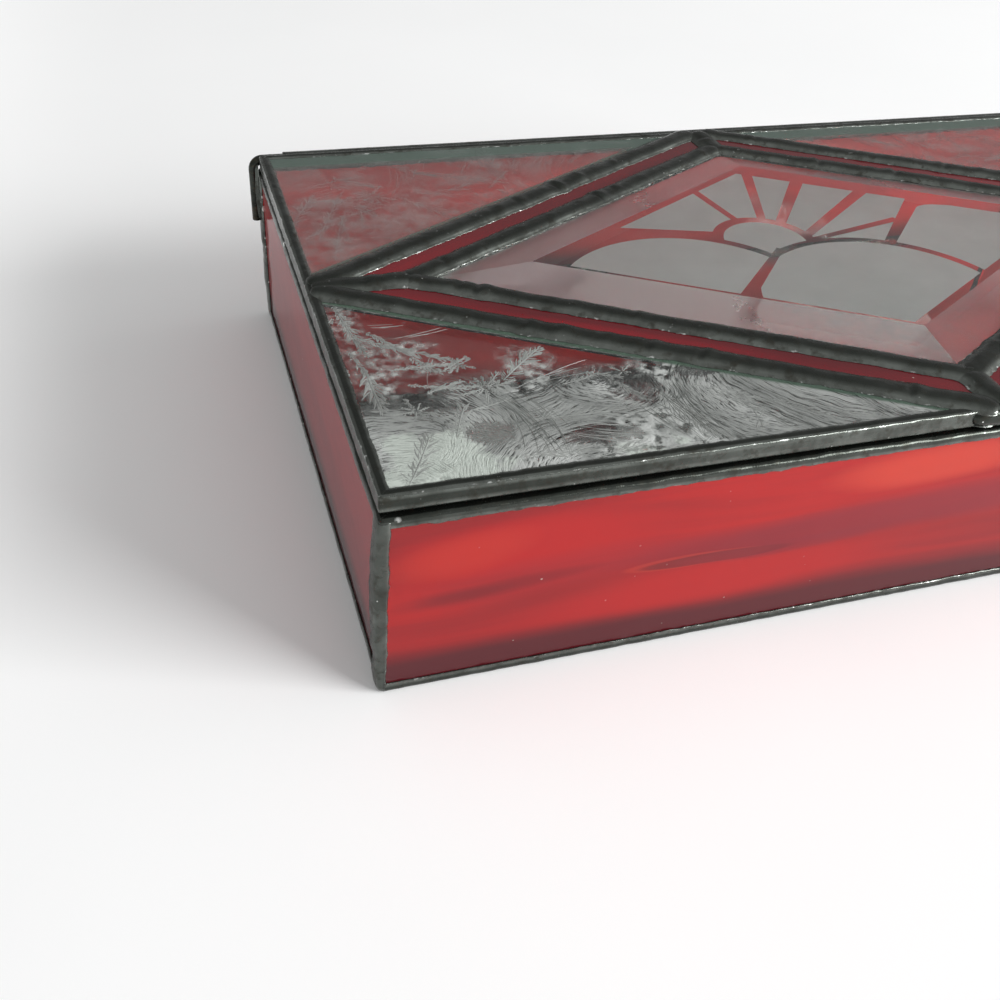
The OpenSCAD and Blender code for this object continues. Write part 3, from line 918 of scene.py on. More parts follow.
# %% Lid edges
def channel_outline():
    top, lap = LID_T + EDGE_SKIN, EDGE_LAP + EDGE_SKIN
    outline = [(0.20, -EDGE_SKIN, 0.8), (0.05, -0.2, 0.8), (0.0, 0.1, 0.5), (0.0, 1.0, 0.9),
               (0.0, 2.2, 0.9), (0.02, top - 0.35, 0.4), (0.12, top - 0.12, 0.05), (0.35, top, 0.1),
               (0.9, top + 0.12, 1.0), (1.6, top + 0.14, 1.0), (2.2, top - 0.02, 0.5),
               (lap - 0.06, LID_T + 0.12, 0.05), (lap, LID_T - TUCK, 0.0)]
    outline += [(EDGE_SKIN + TUCK, LID_T - TUCK, 0.2), (EDGE_SKIN + TUCK, TUCK, 0.2), (lap, TUCK, 0.0)]
    for i in range(6):
        across = lap - 0.1 - i * 0.44
        outline.append((across, -EDGE_SKIN * 0.5 - 0.42 * math.sin(math.pi * (i + 0.5) / 6), 1.0))
    return outline


def channel_wobble(seed, length):
    lumps = bead_lumps(length, seed, int(length / 45))

    def wobble(s, inward, up, crest):
        d_in = d_up = 0.0
        if inward < 0.3 and up > -0.25:
            d_in = max(0.07 + 0.07 * ripple(s, 8, seed + 1) + 0.05 * ripple(s, 2.4, seed + 2), 0.0)
        if up > LID_T + 0.05:
            d_up = (lumps(s)[1] - 1.0) * 0.55 * crest
        if inward > 2.0 and up > 1.5:
            d_in = 1.8 * ragged(s, 1, seed) + 0.16 * ripple(s, 8, seed + 3)
        if up < -EDGE_SKIN - 0.05:
            d_up = 0.05 + 0.05 * ripple(s, 5, seed + 4)
        return d_in, d_up

    return wobble


def painted_front_sheen(x):
    """How much lighter the front edge is painted, a painted sheen of the window: most beside the thumb lift.
    """
    return min(max((105.0 - abs(x)) / 70.0, 0.0), 1.0)


for seed, side_name in enumerate(SIDES, start=91):
    points, faces, crests = mitred_side(side_name, channel_outline(), LID_FRAME, LID_Z, channel_wobble, seed)
    # Painted sheen of the window: the front edge is lighter towards the middle
    if side_name == "front":
        crests = [crest - 0.30 * painted_front_sheen(x) if z < LID_Z + LID_T else crest
                  for crest, (x, _, z) in zip(crests, points)]
    add_piece("lid_channel_" + side_name, (points, faces, crests), "lid", "solder",
              "lid_edge_" + side_name, solder)
print("lid edges built")

# %% [markdown]
# ## Beads across the lid
#
# The beads between the lid's panes are the most hand-made part of the box. Each has a high rounded
# crest on top, a thin web between the panes and a flatter bead beneath. They swell where several
# meet, because the solder there was kept liquid longer. The outline is a section through all three
# parts; its foil edge is a small upright step, which catches light as the real foil does.

# %% Bead outline and shape
BEAD_H, HIGHEST_BEAD = 1.25, 1.92
JOINT_REACH, TIP_REACH = 5.5, 3.4
STATIONS_AT_TIP = [0.0, 0.12, 0.35, 0.7, 1.15, 1.7, 2.3]


def lid_bead_outline(width):
    half, web = width / 2, 0.28
    outline = [(-half, LID_T - TUCK, 0.0), (-half - 0.02, LID_T + 0.10, 0.0),
               (-half + 0.30, LID_T + 0.15, 0.1)]
    for i in range(13):
        across = -half + 0.62 + (width - 1.24) * i / 12
        swell = max(1 - (across / (half - 0.3)) ** 2, 0.0) ** 0.72
        outline.append((across, LID_T + 0.17 + (BEAD_H - 0.17) * swell, 0.25 + 0.75 * swell))
    outline += [(half - 0.30, LID_T + 0.15, 0.1), (half + 0.02, LID_T + 0.10, 0.0), (half, LID_T - TUCK, 0.0)]
    outline += [(web, LID_T - TUCK, 0.2), (web, TUCK, 0.2), (half, TUCK, 0.0), (half, -0.10, 0.0)]
    for i in range(7):
        across = (half - 0.5) * (1 - i / 3)
        outline.append((across, -0.12 - 0.42 * (1 - (across / half) ** 2), 1.0))
    return outline + [(-half, -0.10, 0.0), (-half, TUCK, 0.0), (-web, TUCK, 0.2), (-web, LID_T - TUCK, 0.2)]


def make_bead(name, node, start, end, seed, swell_ends, creases, width=7.0):
    """Bead from start to end, points of the lid's plan. swell_ends gives the joint swelling."""
    start, end = Vector((*start, 0)), Vector((*end, 0))
    length = (end - start).length
    heading = (end - start) / length
    side = Vector((-heading.y, heading.x, 0))
    lumps = bead_lumps(length, seed, creases)

    def shape(station, across, up, crest):
        s = station * length
        width, height, wander = lumps(s)
        joint = (swell_ends[0] * bell(s, 0.0, JOINT_REACH)
                 + swell_ends[1] * bell(length - s, 0.0, JOINT_REACH))
        width += 0.8 * joint
        height += joint
        tip = rounded(min(s, length - s), TIP_REACH)
        sign = 1 if across > 0 else -1
        if up > LID_T + 0.05 or (up > LID_T - 0.1 and abs(across) > 1):
            jag = 2.1 * ragged(s, sign, seed) * (1 - crest) ** 2
            lean = 0.35 * ripple(s, 9, seed + 1.1) * crest
            dimple = 0.05 * ripple(s, 1.7, seed + 1.3 + 0.45 * across) * crest
            across = (across * width + sign * jag + lean) * (0.25 + 0.75 * tip) + wander
            up = LID_T - TUCK + (up - LID_T + TUCK) * (0.35 + 0.65 * tip) * (height + dimple)
            up = min(up, LID_T + HIGHEST_BEAD)
        elif up < 0.05 and abs(across) > 0.5 or up < -0.05:
            across = across * (0.25 + 0.75 * tip)
            up = up * (0.9 + 0.08 * ripple(s, 6, seed + 2)) if up < 0 else up
        point = start + heading * s + side * across
        return (point.x, LID_MID + point.y, LID_Z + up)

    stations = STATIONS_AT_TIP + steps(2.9, length - 2.9, 0.7)
    stations += [length - v for v in reversed(STATIONS_AT_TIP)]
    part = sweep(lid_bead_outline(width), [v / length for v in stations], shape)
    add_piece(name, part, "lid", "solder", node, solder)


print("points in the outline of a bead:", len(lid_bead_outline(7.0)))


# %% Outer, inner and mitre beads
def corners_of_rhombus(p):
    k = p / OUTER_P
    return {"left": (-HALF_W * k, 0.0), "right": (HALF_W * k, 0.0),
            "front": (0.0, -HALF_D * k), "back": (0.0, HALF_D * k)}


def span(one, other, from_one, from_other):
    """The line from one point to the other, shortened at both ends; negative lengthens it."""
    def pulled_in(point, towards, amount):
        direction = (Vector(towards) - Vector(point)).normalized()
        moved = Vector(point) + direction * amount
        return (moved.x, moved.y)

    return pulled_in(one, other, from_one), pulled_in(other, one, from_other)


outer_corners, inner_corners = corners_of_rhombus(OUTER_P), corners_of_rhombus(INNER_P)
for seed, (front_back, left_right) in zip(range(122, 130, 2), QUARTERS):
    quarter = f"{front_back}_{left_right}"
    make_bead("outer_bead_" + quarter, "outer_seam_" + quarter,
              *span(outer_corners[left_right], outer_corners[front_back], 1.6, 1.8),
              seed, (0.20, 0.16), 4)
    make_bead("inner_bead_" + quarter, "inner_seam_" + quarter,
              *span(inner_corners[left_right], inner_corners[front_back], -1.0, -1.0),
              seed + 1, (0.10, 0.10), 3, 6.6)
for seed, corner in enumerate(outer_corners, start=141):
    make_bead("mitre_bead_" + corner, "mitre_seam_" + corner,
              *span(outer_corners[corner], inner_corners[corner], 1.4, -1.5), seed, (0.28, 0.20), 1, 6.8)
print("beads across the lid built")

# %% [markdown]
# ## Thumb lift
#
# At the middle of the front edge, the seams run together into a swelling that hangs over the edge
# of the lid, a natural place for a fingertip. It is an arch carried sideways along the edge. The
# arch shrinks towards both ends along an ellipse, so the lump fades into the channel.

# %% Thumb lift
def make_thumb_lift():
    middle_z, tall, reach, half_length = 1.75, 2.35, 1.95, 8.0
    foremost, highest = -BOX_D / 2 - 0.38, LID_Z + 4.6
    arch = []
    for i in range(15):
        a = math.radians(-100 + 200 * i / 14)
        arch.append((math.cos(a), math.sin(a), 1.0 if 2 < i < 12 else 0.3))

    def shape(s, out, up, crest):
        x = (2 * s - 1) * half_length
        size = math.sqrt(max(1 - (2 * s - 1) ** 2, 0.0)) ** 0.8
        lump = 1 + 0.05 * ripple(x, 4, 161) + 0.05 * ripple(x + 9 * up, 2.2, 162)
        y = LID_FRONT + 0.5 - out * (0.12 + size) * reach * lump * (0.92 + 0.16 * max(up, 0))
        z = LID_Z + middle_z + up * (0.25 + 0.75 * size) * tall * lump
        return (x, max(y, foremost), min(z, highest))

    part = sweep(arch, evenly(32), shape)
    add_piece("thumb_swelling", part, "lid", "solder", "thumb_lift", worn_solder)


make_thumb_lift()
print("thumb lift built")

# %% [markdown]
# ## Red strips
#
# The narrow strips around the rhombus are a deeper red and let some light through. They keep
# their CAD shape; the streaks run along each strip, so the place is turned by the strip's slope
# before it goes into the streaks group.

# %% Deep red glass
def make_deep_red(name, turn, seed):
    material, place = new_material(name)
    turned = stretch(place, (1.0, 1.0, 1.0), (0.0, 0.0, turn))
    streaks = put(place.tree, "Group", {"Along and across": turned, "Seed": seed}, node_tree=streaks_group)
    colour = blend(streaks["Bands"], (0.34, 0.006, 0.016), (0.15, 0.004, 0.010))
    colour = blend(streaks["Specks"], colour, (0.7, 0.55, 0.5))
    return finish_material(material, Base_Color=colour, Roughness=0.05, IOR=1.5, Transmission_Weight=0.45,
                           Normal=bumped(noise_at(place, 45.0, 2.0), 0.12, 0.001))


rising = make_deep_red("deep_red_rising", -SLOPE, 1.7)
falling = make_deep_red("deep_red_falling", SLOPE, 3.3)
for front_back, left_right in QUARTERS:
    glass = falling if SIDES[front_back] == SIDES[left_right] else rising
    finish_node(f"red_strip_{front_back}_{left_right}", glass)
print("red strips finished")

# %% [markdown]
# ## Frosted corners
#
# The corner panes are glue-chip glass. Hot hide glue is spread on the glass, and as it dries it
# shrinks and tears thin flakes out of the surface, in curved ferns like frost on a window. Two
# things are laid over each clear pane. A thin skin shows how densely it is chipped: its material
# draws plumes of fine hairs, each curved round the spot where the flakes began to tear, and pale
# smooth sheets where whole flakes came off. On the back panes the skin is only a faint veil. The
# ferns on the skin are real geometry: thousands of thin curved strokes, each with a pointed start,
# a ridge and a pointed end, so that every barb catches light by itself.

# %% First quarter of the lid
def first_quarter(place):
    """Place folded into one quarter of the lid, as a vector, and outward in X and in Y."""
    parts = separate(place)
    across, along = abs(parts["X"]), abs(parts["Y"] - LID_MID * MM)
    return combine(X=across, Y=along), across, along


def beside_seam(across, along):
    """1 on the thin green line of cut glass beside the outer seam, 0 elsewhere."""
    slant = across / (HALF_W * MM) + along / (HALF_D * MM)
    return remap((slant - 1.0) * (OUTER_P * MM), 0.0052, 0.0044)


# %% Plume group
def make_plume_group():
    """Fine curved hairs round a centre, as flakes tear off in arcs round the spot where they began."""
    group, takes = new_group("Plume", {"Place": None, "Centre": None, "Facing": 0.0, "Spread": 0.8,
                                       "Near": 0.01, "Far": 0.03, "Spiral": 0.0},
                             ["Hairs", "Cover", "Shade"])
    place, facing = takes["Place"], takes["Facing"]
    warp = vectors("SUBTRACT", noise_at(place, 70.0, 2.0, 0.5, out="Color"), (0.5, 0.5, 0.5))
    small = put(group, "VectorMath", {0: warp, "Scale": 0.006}, operation="SCALE")[0]
    offset = vectors("SUBTRACT", vectors("ADD", place, small), takes["Centre"])
    turned = put(group, "VectorRotate", {"Vector": offset, "Angle": facing}, invert=True)[0]
    parts = separate(turned)
    angle, radius = maths("ARCTAN2", parts["Y"], parts["X"]), vectors("LENGTH", turned)
    wound = radius * 2600.0 + angle * takes["Spiral"]
    hairs = noise_at(combine(X=wound, Y=angle * 4.5, Z=facing * 9.0), 1.0, 4.0, 0.70)
    outside = larger(radius / takes["Far"], takes["Near"] / (radius + 0.0005))
    out = larger(abs(angle) / takes["Spread"], outside)
    # Shade is painted shade of the relief: 1 inside the plume, falling to 0.3 at its edges
    return finish_group(group, Hairs=hairs, Cover=remap(out + (hairs - 0.5) * 0.5, 1.05, 0.90),
                        Shade=remap(out, 0.45, 1.0, 1.0, 0.30))


plume_group = make_plume_group()
# Centre, way it faces, half angle, nearest and farthest reach, spiral; first quarter, mm and degrees
PLUMES = [
    ((128, 74), -115, 50, 6, 30, 8.0), ((97, 28), 105, 42, 20, 36, 4.0), ((121, 58), 178, 55, 9, 27, 3.0),
    ((92, 80), -60, 60, 4, 24, 14.0), ((44, 56), 25, 75, 6, 21, 2.0), ((18, 46), 35, 40, 14, 37, 3.0),
    ((74, 44), 75, 60, 3, 15, 9.0), ((8, 60), 10, 60, 6, 22, 5.0),
]


def plumes(place):
    """All plumes laid over each other, later ones on top: hairs from about 0.3 to 0.7, and a random tone with
    the painted shade of each plume laid over it.
    """
    hairs = noise_at(place, 420.0, 4.0, 0.5)
    shade = remap(noise_at(place, 150.0, 2.0), 0.35, 0.65, 0.45, 1.0)
    for (x, y), facing, spread, near, far, spiral in PLUMES:
        plume = put(place.tree, "Group", {
            "Place": place, "Centre": (x * MM, y * MM, 0.0), "Facing": math.radians(facing),
            "Spread": math.radians(spread), "Near": near * MM, "Far": far * MM, "Spiral": spiral,
        }, node_tree=plume_group)
        hairs = between(plume["Cover"], hairs, plume["Hairs"])
        shade = between(plume["Cover"], shade, plume["Shade"])
    return hairs, shade


# %% Chipped glass
# Middle of each pale sheet in the first quarter, and how much smaller it is than the first
PALE_SHEETS = [((0.1155, 0.0665, 0.0), 0.0), ((0.0790, 0.0710, 0.0), 0.0075), ((0.0700, 0.0700, 0.0), 0.0095)]
PAINTED_SHADE_CHIP, LIGHT_CHIP, PALE_SHEET = (0.050, 0.058, 0.052), (0.58, 0.60, 0.58), (0.62, 0.68, 0.62)


def make_frost_pane():
    material, place = new_material("chipped_clear_glass")
    soft = noise_at(place, 60.0, 3.0)
    return finish_material(material, Base_Color=(0.94, 0.98, 0.96), IOR=1.5, Transmission_Weight=1.0,
                           Roughness=remap(soft, 0.45, 0.62, 0.012, 0.10),
                           Normal=bumped(soft, 0.15, 0.0006))


def make_skin():
    """Chipped skin: grey where flakes came off, clear between, green beside the seam.

    The crest mark says how densely this part of the pane is chipped.
    """
    material, place = new_material("chipped_skin")
    folded, across, along = first_quarter(place)
    hairs, shade = plumes(folded)
    dense = crest_mark(place)
    sheet = remap(dense + (hairs - 0.5) * 1.5, 0.50, 0.74, 0.0, 0.90)
    chipped = sheet * remap(hairs, 0.37, 0.47, 0.55, 1.0)
    haze = remap(dense, 0.20, 0.50, 0.0, 0.50) * remap(hairs, 0.38, 0.62, 0.15, 1.0)

    far = 1.0
    for centre, smaller in PALE_SHEETS:
        far = maths("MINIMUM", far, vectors("DISTANCE", folded, centre) + smaller)
    torn = far + noise_at(place, 150.0, 4.0, 0.65) * 0.022
    pale = remap(torn, 0.0225, 0.0195) * remap(dense, 0.60, 0.85)
    # Painted shade of the relief: the chips turn dark grey between the hairs and towards the edges of the
    # plumes
    grey = blend(remap(hairs, 0.38, 0.51, 0.12, 1.0) * shade, PAINTED_SHADE_CHIP, LIGHT_CHIP)
    green = beside_seam(across, along)
    colour = blend(green, blend(pale * 0.85, grey, PALE_SHEET), (0.085, 0.135, 0.100))
    return finish_material(material, Base_Color=colour, Roughness=0.36, IOR=1.5,
                           Alpha=larger(larger(chipped, haze), green * 0.70),
                           Normal=bumped(hairs, 1.0, 0.0005))


def make_veil():
    """Skin of the back panes: a thin even haze with faint plumes, and a grey green lap at the back."""
    material, place = new_material("faint_chipped_skin")
    folded, across, along = first_quarter(place)
    hairs, shade = plumes(folded)
    haze = remap(noise_at(folded, 55.0, 3.0, 0.6) * shade, 0.22, 0.56, 0.08, 0.36)
    drawn = remap(hairs, 0.46, 0.66) * 0.10
    at_back = remap(along, (HALF_D - 11.0) * MM, (HALF_D - 7.5) * MM, smooth=True)
    green = larger(at_back, beside_seam(across, along))
    return finish_material(material, Base_Color=blend(green, (0.34, 0.29, 0.28), (0.125, 0.170, 0.145)),
                           Roughness=0.45, IOR=1.5, Alpha=larger(haze + drawn, green * 0.62),
                           Normal=bumped(hairs, 0.4, 0.0003))


def make_frost(name, shown):
    material, place = new_material(name)
    grain = noise_at(place, 2600.0, 2.0)
    tone = remap(noise_at(place, 120.0, 2.0), 0.35, 0.65)
    return finish_material(material, Base_Color=blend(tone, (0.30, 0.31, 0.295), (0.48, 0.50, 0.48)),
                           Roughness=remap(grain, 0.3, 0.7, 0.28, 0.50), Alpha=shown, IOR=1.5,
                           Transmission_Weight=0.30, Normal=bumped(grain, 0.5, 0.0001))


frost_pane = make_frost_pane()
skins = {"front": make_skin(), "back": make_veil()}
frosts = {"front": make_frost("chipped_frost", 0.82), "back": make_frost("faint_chipped_frost", 0.13)}
print("chipped glass ready")


# %% One stroke of frost
# The frost keeps this far off the seams round its pane
PANE_MARGIN = 0.5


def arc_points(x, y, heading, length, bend, pieces):
    """Points along an arc that starts at (x, y) and turns by `bend` over its length."""
    points = [(x, y)]
    for i in range(pieces):
        angle = heading + bend * (i + 0.5) / pieces
        x += math.cos(angle) * length / pieces
        y += math.sin(angle) * length / pieces
        points.append((x, y))
    return points


def inside_corner(x, y):
    """Whether a point of the first quarter of the lid's plan is on its corner pane."""
    on_lid = x < HALF_W - PANE_MARGIN and y < HALF_D - PANE_MARGIN
    return on_lid and (x / HALF_W + y / HALF_D - 1) * OUTER_P > PANE_MARGIN


def stroke_part(points, half_width, rise):
    """Thin closed ridge along the points: pointed ends, left foot, crest and right foot between."""
    keep = []
    for point in points:
        if not inside_corner(*point):
            break
        keep.append(point)
    if len(keep) < 3:
        return None
    low, high = LID_T - 0.012, LID_T + rise
    vertices, faces = [(*keep[0], low)], []
    for i in range(1, len(keep) - 1):
        dx, dy = keep[i + 1][0] - keep[i - 1][0], keep[i + 1][1] - keep[i - 1][1]
        size = math.hypot(dx, dy)
        w = half_width * math.sin(math.pi * (0.18 + 0.72 * i / len(keep)))
        nx, ny = -dy / size * w, dx / size * w
        x, y = keep[i]
        vertices += [(x + nx, y + ny, low), (x, y, high), (x - nx, y - ny, low)]
        if i == 1:
            faces += [(0, 2, 1), (0, 3, 2), (0, 1, 3)]
        else:
            a, b = 3 * i - 5, 3 * i - 2
            faces += [(a, a + 1, b + 1, b), (a + 1, a + 2, b + 2, b + 1), (a + 2, a, b, b + 2)]
    tip, last = len(vertices), len(vertices) - 3
    vertices.append((*keep[-1], low))
    faces += [(tip, last, last + 1), (tip, last + 1, last + 2), (tip, last + 2, last)]
    return vertices, faces, [1.0] * len(vertices)


print("points of a short stroke:", len(stroke_part(arc_points(100, 60, 0, 5, 0.5, 6), 0.2, 0.07)[0]))


# %% Fronds, tufts and bundles
SPINE_STEP, BARB_STEP, BARBS_MISSING = 0.9, 0.50, 0.12
SPINE, BLADE_HALF_W, BLADE_RISE = (0.15, 0.09), 0.10, 0.045
BARB_HALF_W, BARB_RISE = (0.16, 0.28), 0.065


def frond(draw, x, y, heading, length, bend, barb):
    """Spine, blade and barbs of one fern, as a list of (points, half width, rise)."""
    pieces = max(int(length / SPINE_STEP), 4)
    spine = arc_points(x, y, heading, length, bend, pieces)
    strokes = [(spine, *SPINE), (spine[1:], BLADE_HALF_W * barb, BLADE_RISE)]
    count = max(int(length / BARB_STEP), 3)
    for i in range(1, count):
        t = i / count
        at, share = int(t * pieces), t * pieces % 1
        px = spine[at][0] + (spine[at + 1][0] - spine[at][0]) * share
        py = spine[at][1] + (spine[at + 1][1] - spine[at][1]) * share
        full = math.sin(math.pi * (0.10 + 0.82 * t)) ** 0.8
        for side in (-1, 1):
            if draw.random() < BARBS_MISSING:
                continue
            reach = barb * full * draw.uniform(0.60, 1.60)
            angle = heading + bend * t + side * math.radians(draw.uniform(32, 68) - 14 * t)
            curl = -side * math.radians(draw.uniform(15, 45))
            barb_points = arc_points(px, py, angle, reach, curl, 4 if reach > 3 else 2)
            strokes.append((barb_points, draw.uniform(*BARB_HALF_W), BARB_RISE))
    return strokes


def tuft(draw, x, y, reach, arms):
    """Small star of feathers round one chip."""
    strokes = []
    for i in range(arms):
        heading = math.tau * (i + draw.uniform(0.1, 0.9)) / arms
        length = reach * draw.uniform(0.55, 1.1)
        strokes += frond(draw, x, y, heading, length, draw.uniform(-0.4, 0.4), length * 0.20)
    return strokes


def bundle(draw, x, y, heading, length, bend, width, count):
    """Long nearly parallel hairs that start side by side."""
    strokes = []
    for _ in range(count):
        aside = draw.uniform(-0.5, 0.5) * width
        ahead = draw.uniform(-0.1, 0.35) * length
        px = x + ahead * math.cos(heading) - aside * math.sin(heading)
        py = y + ahead * math.sin(heading) + aside * math.cos(heading)
        reach = length * draw.uniform(0.35, 1.0)
        turn = bend * reach / length * draw.uniform(0.8, 1.2)
        arc = arc_points(px, py, heading + draw.uniform(-0.10, 0.10), reach, turn, 9)
        strokes.append((arc, draw.uniform(0.05, 0.12), draw.uniform(0.04, 0.08)))
    return strokes


# %% Places of the frost
# Places are distances from the middle of the lid, as measured on the front left pane.
# Fronds: x, y, heading in degrees from outward, length, bend in degrees, length of the barbs
FRONDS = [
    (124, 8, 95, 22, 6, 2.0), (122, 22, 142, 22, 6, 2.4), (122.5, 33.5, 89, 16, 4, 3.2),
    (118, 35.3, 179, 14, 2, 1.6), (97, 43.5, 226, 15.5, -6, 2.9), (116, 41, 158, 13, 8, 1.3),
    (96, 57, 175, 21, 8, 3.4), (76, 46.5, 118, 11, 4, 1.9), (68, 53, 106, 18, 10, 4.2),
    (102, 68, 184, 17, -6, 3.0), (123, 72, 238, 16, 8, 3.3), (111, 60, 250, 11, -8, 3.0),
    (80, 43.5, 152, 8, 0, 1.6), (60, 52, 138, 14, 14, 2.8), (47, 60, 135, 13, 8, 2.4),
    (35, 67, 150, 11, 8, 1.9), (88, 71, 190, 12, 6, 2.6), (106, 52, 190, 9, 10, 2.2),
    (20, 71, 170, 9, 0, 1.4), (125, 13, 60, 7, 0, 1.5), (119.5, 20, 120, 12, 8, 1.6),
    (124.5, 27, 100, 9, 4, 1.5), (113, 31, 120, 9, 10, 1.8), (108, 38, 215, 8, 0, 1.5),
    (113, 45, 205, 9, -8, 1.5), (126, 33, 80, 12, 4, 1.4), (86, 47, 190, 8, 6, 1.6),
]
# Tufts: x, y, length of their arms, number of arms
TUFTS = [(101, 45, 6.5, 13), (104, 36, 3.6, 8), (72, 45, 3.2, 6), (116, 50, 5.0, 8), (66, 71, 4.5, 7),
         (52, 66, 4.0, 6)]
# Bundles of long hairs: x, y, heading, length, bend, width of the bundle, number
BUNDLES = [
    (94, 46, 204, 20, -22, 1.6, 5), (119, 18, 172, 9, 6, 1.2, 4), (116, 24, 184, 12, 8, 1.0, 3),
    (99, 46, 120, 24, -45, 7.0, 22), (64, 49, 85, 24, 38, 8.0, 26), (52, 55, 128, 20, -16, 9.0, 24),
    (72, 57, 110, 14, 22, 6.0, 14), (38, 62, 138, 14, -12, 8.0, 14), (124, 50, 150, 16, 26, 7.0, 16),
    (112, 56, 160, 14, -34, 6.0, 12), (90, 60, 150, 18, 24, 6.0, 14), (24, 68, 158, 12, -8, 4.0, 8),
    (107, 30, 60, 12, 40, 1.4, 3),
]
# Clear windows in the chipped part and hazy spots in the clear part: x, y, half width, half depth
CLEAR_WINDOWS = [(84, 64.5, 7.5, 3.2), (71.5, 50, 5.0, 6.5), (104, 59.5, 4.5, 3.5), (56, 47.5, 5.0, 2.5)]
HAZY_SPOTS = [(121.5, 40, 4.0, 10), (117, 28, 9.0, 4.0), (103, 45, 9.0, 5.0), (90, 38, 5.0, 6.0),
              (123, 15, 3.0, 9.0), (112, 36, 8.0, 2.5)]
FIRST_SEED, FAINT_FROM = 201, 203
print(len(FRONDS), "fronds,", len(TUFTS), "tufts and", len(BUNDLES), "bundles for each pane")


# %% Skin over a pane
def chip_density(x, y, seed):
    """How densely the glass is chipped, about 0 to 1: least in the middle of the box's long side."""
    wander = noise.noise(Vector((x / 17, y / 17, seed + 0.5)))
    wander += 0.5 * noise.noise(Vector((x / 6, y / 6, seed)))
    if seed >= FAINT_FROM:
        return 0.40 + 0.22 * wander
    start = 48.0 - 6.0 * min(max((85.0 - x) / 20.0, 0.0), 1.0)
    dense = min(max((y + 7 * wander - start + 3.0) / 8.0, 0.0), 1.0)
    for wx, wy, across, along in CLEAR_WINDOWS:
        far = math.hypot((x - wx) / across, (y - wy) / along)
        dense *= 1 - 0.75 * min(max(1.35 - far, 0.0) / 0.5, 1.0)
    hazy = 0.0
    for wx, wy, across, along in HAZY_SPOTS:
        far = math.hypot((x - wx) / across, (y - wy) / along)
        hazy = max(hazy, 0.30 * min(max(1.3 - far, 0.0) / 0.6, 1.0))
    return min(0.20 + 0.80 * dense + hazy, 1.0)


def skin_part(seed):
    """Thin relief over a corner pane of the first quarter. crest is how densely it is chipped."""
    corner = Vector((HALF_W - PANE_MARGIN, HALF_D - PANE_MARGIN))
    by_side, by_front = Vector((corner.x, 0.9)), Vector((1.6, corner.y))
    count = 56
    points, crests, number = [], [], {}
    for level in (0, 1):
        for i in range(count + 1):
            for j in range(count + 1 - i):
                place = corner + (by_side - corner) * (i / count) + (by_front - corner) * (j / count)
                relief = 0.012 + 0.022 * abs(noise.noise(Vector((place.x / 2.5, place.y / 2.5, seed))))
                number[level, i, j] = len(points)
                points.append((place.x, place.y, LID_T + (relief if level else -0.006)))
                crests.append(chip_density(place.x, place.y, seed))
    faces = []
    for level in (0, 1):
        for i in range(count):
            for j in range(count - i):
                a, b, c = number[level, i, j], number[level, i + 1, j], number[level, i, j + 1]
                faces.append((a, b, c) if level == 0 else (a, c, b))
                if i + j < count - 1:
                    d = number[level, i + 1, j + 1]
                    faces.append((b, d, c) if level == 0 else (b, c, d))
    rim = [(i, 0) for i in range(count)] + [(count - j, j) for j in range(count)]
    rim += [(0, count - j) for j in range(count)]
    for (i1, j1), (i2, j2) in zip(rim, rim[1:] + rim[:1]):
        faces.append((number[0, i2, j2], number[0, i1, j1], number[1, i1, j1], number[1, i2, j2]))
    return outward(points, faces, crests)


print("chipped beside the corner of the lid:", round(chip_density(120, 70, FIRST_SEED), 2))


# %% Ferns of each pane
def make_ferns(front_back, left_right, seed):
    draw = random.Random(seed)
    sx, sy = SIDES[left_right], SIDES[front_back]
    drift = 0.0 if seed == FIRST_SEED else 5.0
    stretch_by = 1.0 if front_back == "front" else 1.25

    def moved(x, y):
        return x + draw.uniform(-drift, drift), y + draw.uniform(-drift, drift)

    strokes = []
    for x, y, heading, length, bend, barb in FRONDS:
        x, y = moved(x, y)
        heading = math.radians(heading + 8 * draw.uniform(-drift, drift))
        strokes += frond(draw, x, y, heading, length * stretch_by, math.radians(bend), barb)
    for x, y, reach, arms in TUFTS:
        strokes += tuft(draw, *moved(x, y), reach, arms)
    for x, y, heading, length, bend, width, count in BUNDLES:
        strokes += bundle(draw, *moved(x, y), math.radians(heading), length, math.radians(bend), width, count)
    parts = [part for part in (stroke_part(*stroke) for stroke in strokes) if part]
    sheet = skin_part(seed)
    points, faces, crests = joined([sheet] + parts)
    points = [(sx * x, LID_MID + sy * y, LID_Z + z) for x, y, z in points]
    if sx * sy < 0:
        faces = [tuple(reversed(face)) for face in faces]
    name = f"{front_back}_{left_right}"
    piece = add_piece("frost_ferns_" + name, (points, faces, crests), "lid", "frost_glass", None,
                      skins[front_back], frosts[front_back])
    in_sheet, in_ferns = len(sheet[1]), len(faces) - len(sheet[1])
    piece.data.polygons.foreach_set("material_index", [0] * in_sheet + [1] * in_ferns)
    piece.data.polygons.foreach_set("use_smooth", [True] * in_sheet + [False] * in_ferns)
    finish_node("frost_corner_" + name, frost_pane)
    print(name, "strokes of frost:", len(parts))


for seed, quarter in enumerate(QUARTERS, start=FIRST_SEED):
    make_ferns(*quarter, seed)

# %% [markdown]
# ## The bevelled rhombus
#
# The middle pane is thick clear plate with four ground and polished slopes. A traditional sunburst
# is etched on its underside: a half-round sun between two low arches, with rays up to the edge.
# The last ray ends on a band that branches off to the edge, and the pane beyond it has a rounded
# corner. The matt panes are separated by clear bands.
#
# The etching is drawn with a rule of thumb rather than a picture: circles for the sun and the two
# arches, tapering straight bands for the rays. All their outlines are given to a triangulation as
# lines that it may not cross. Then each triangle of the underside asks in which shape its middle
# lies, and gets the matt or the clear material. The matt area is therefore part of the pane.

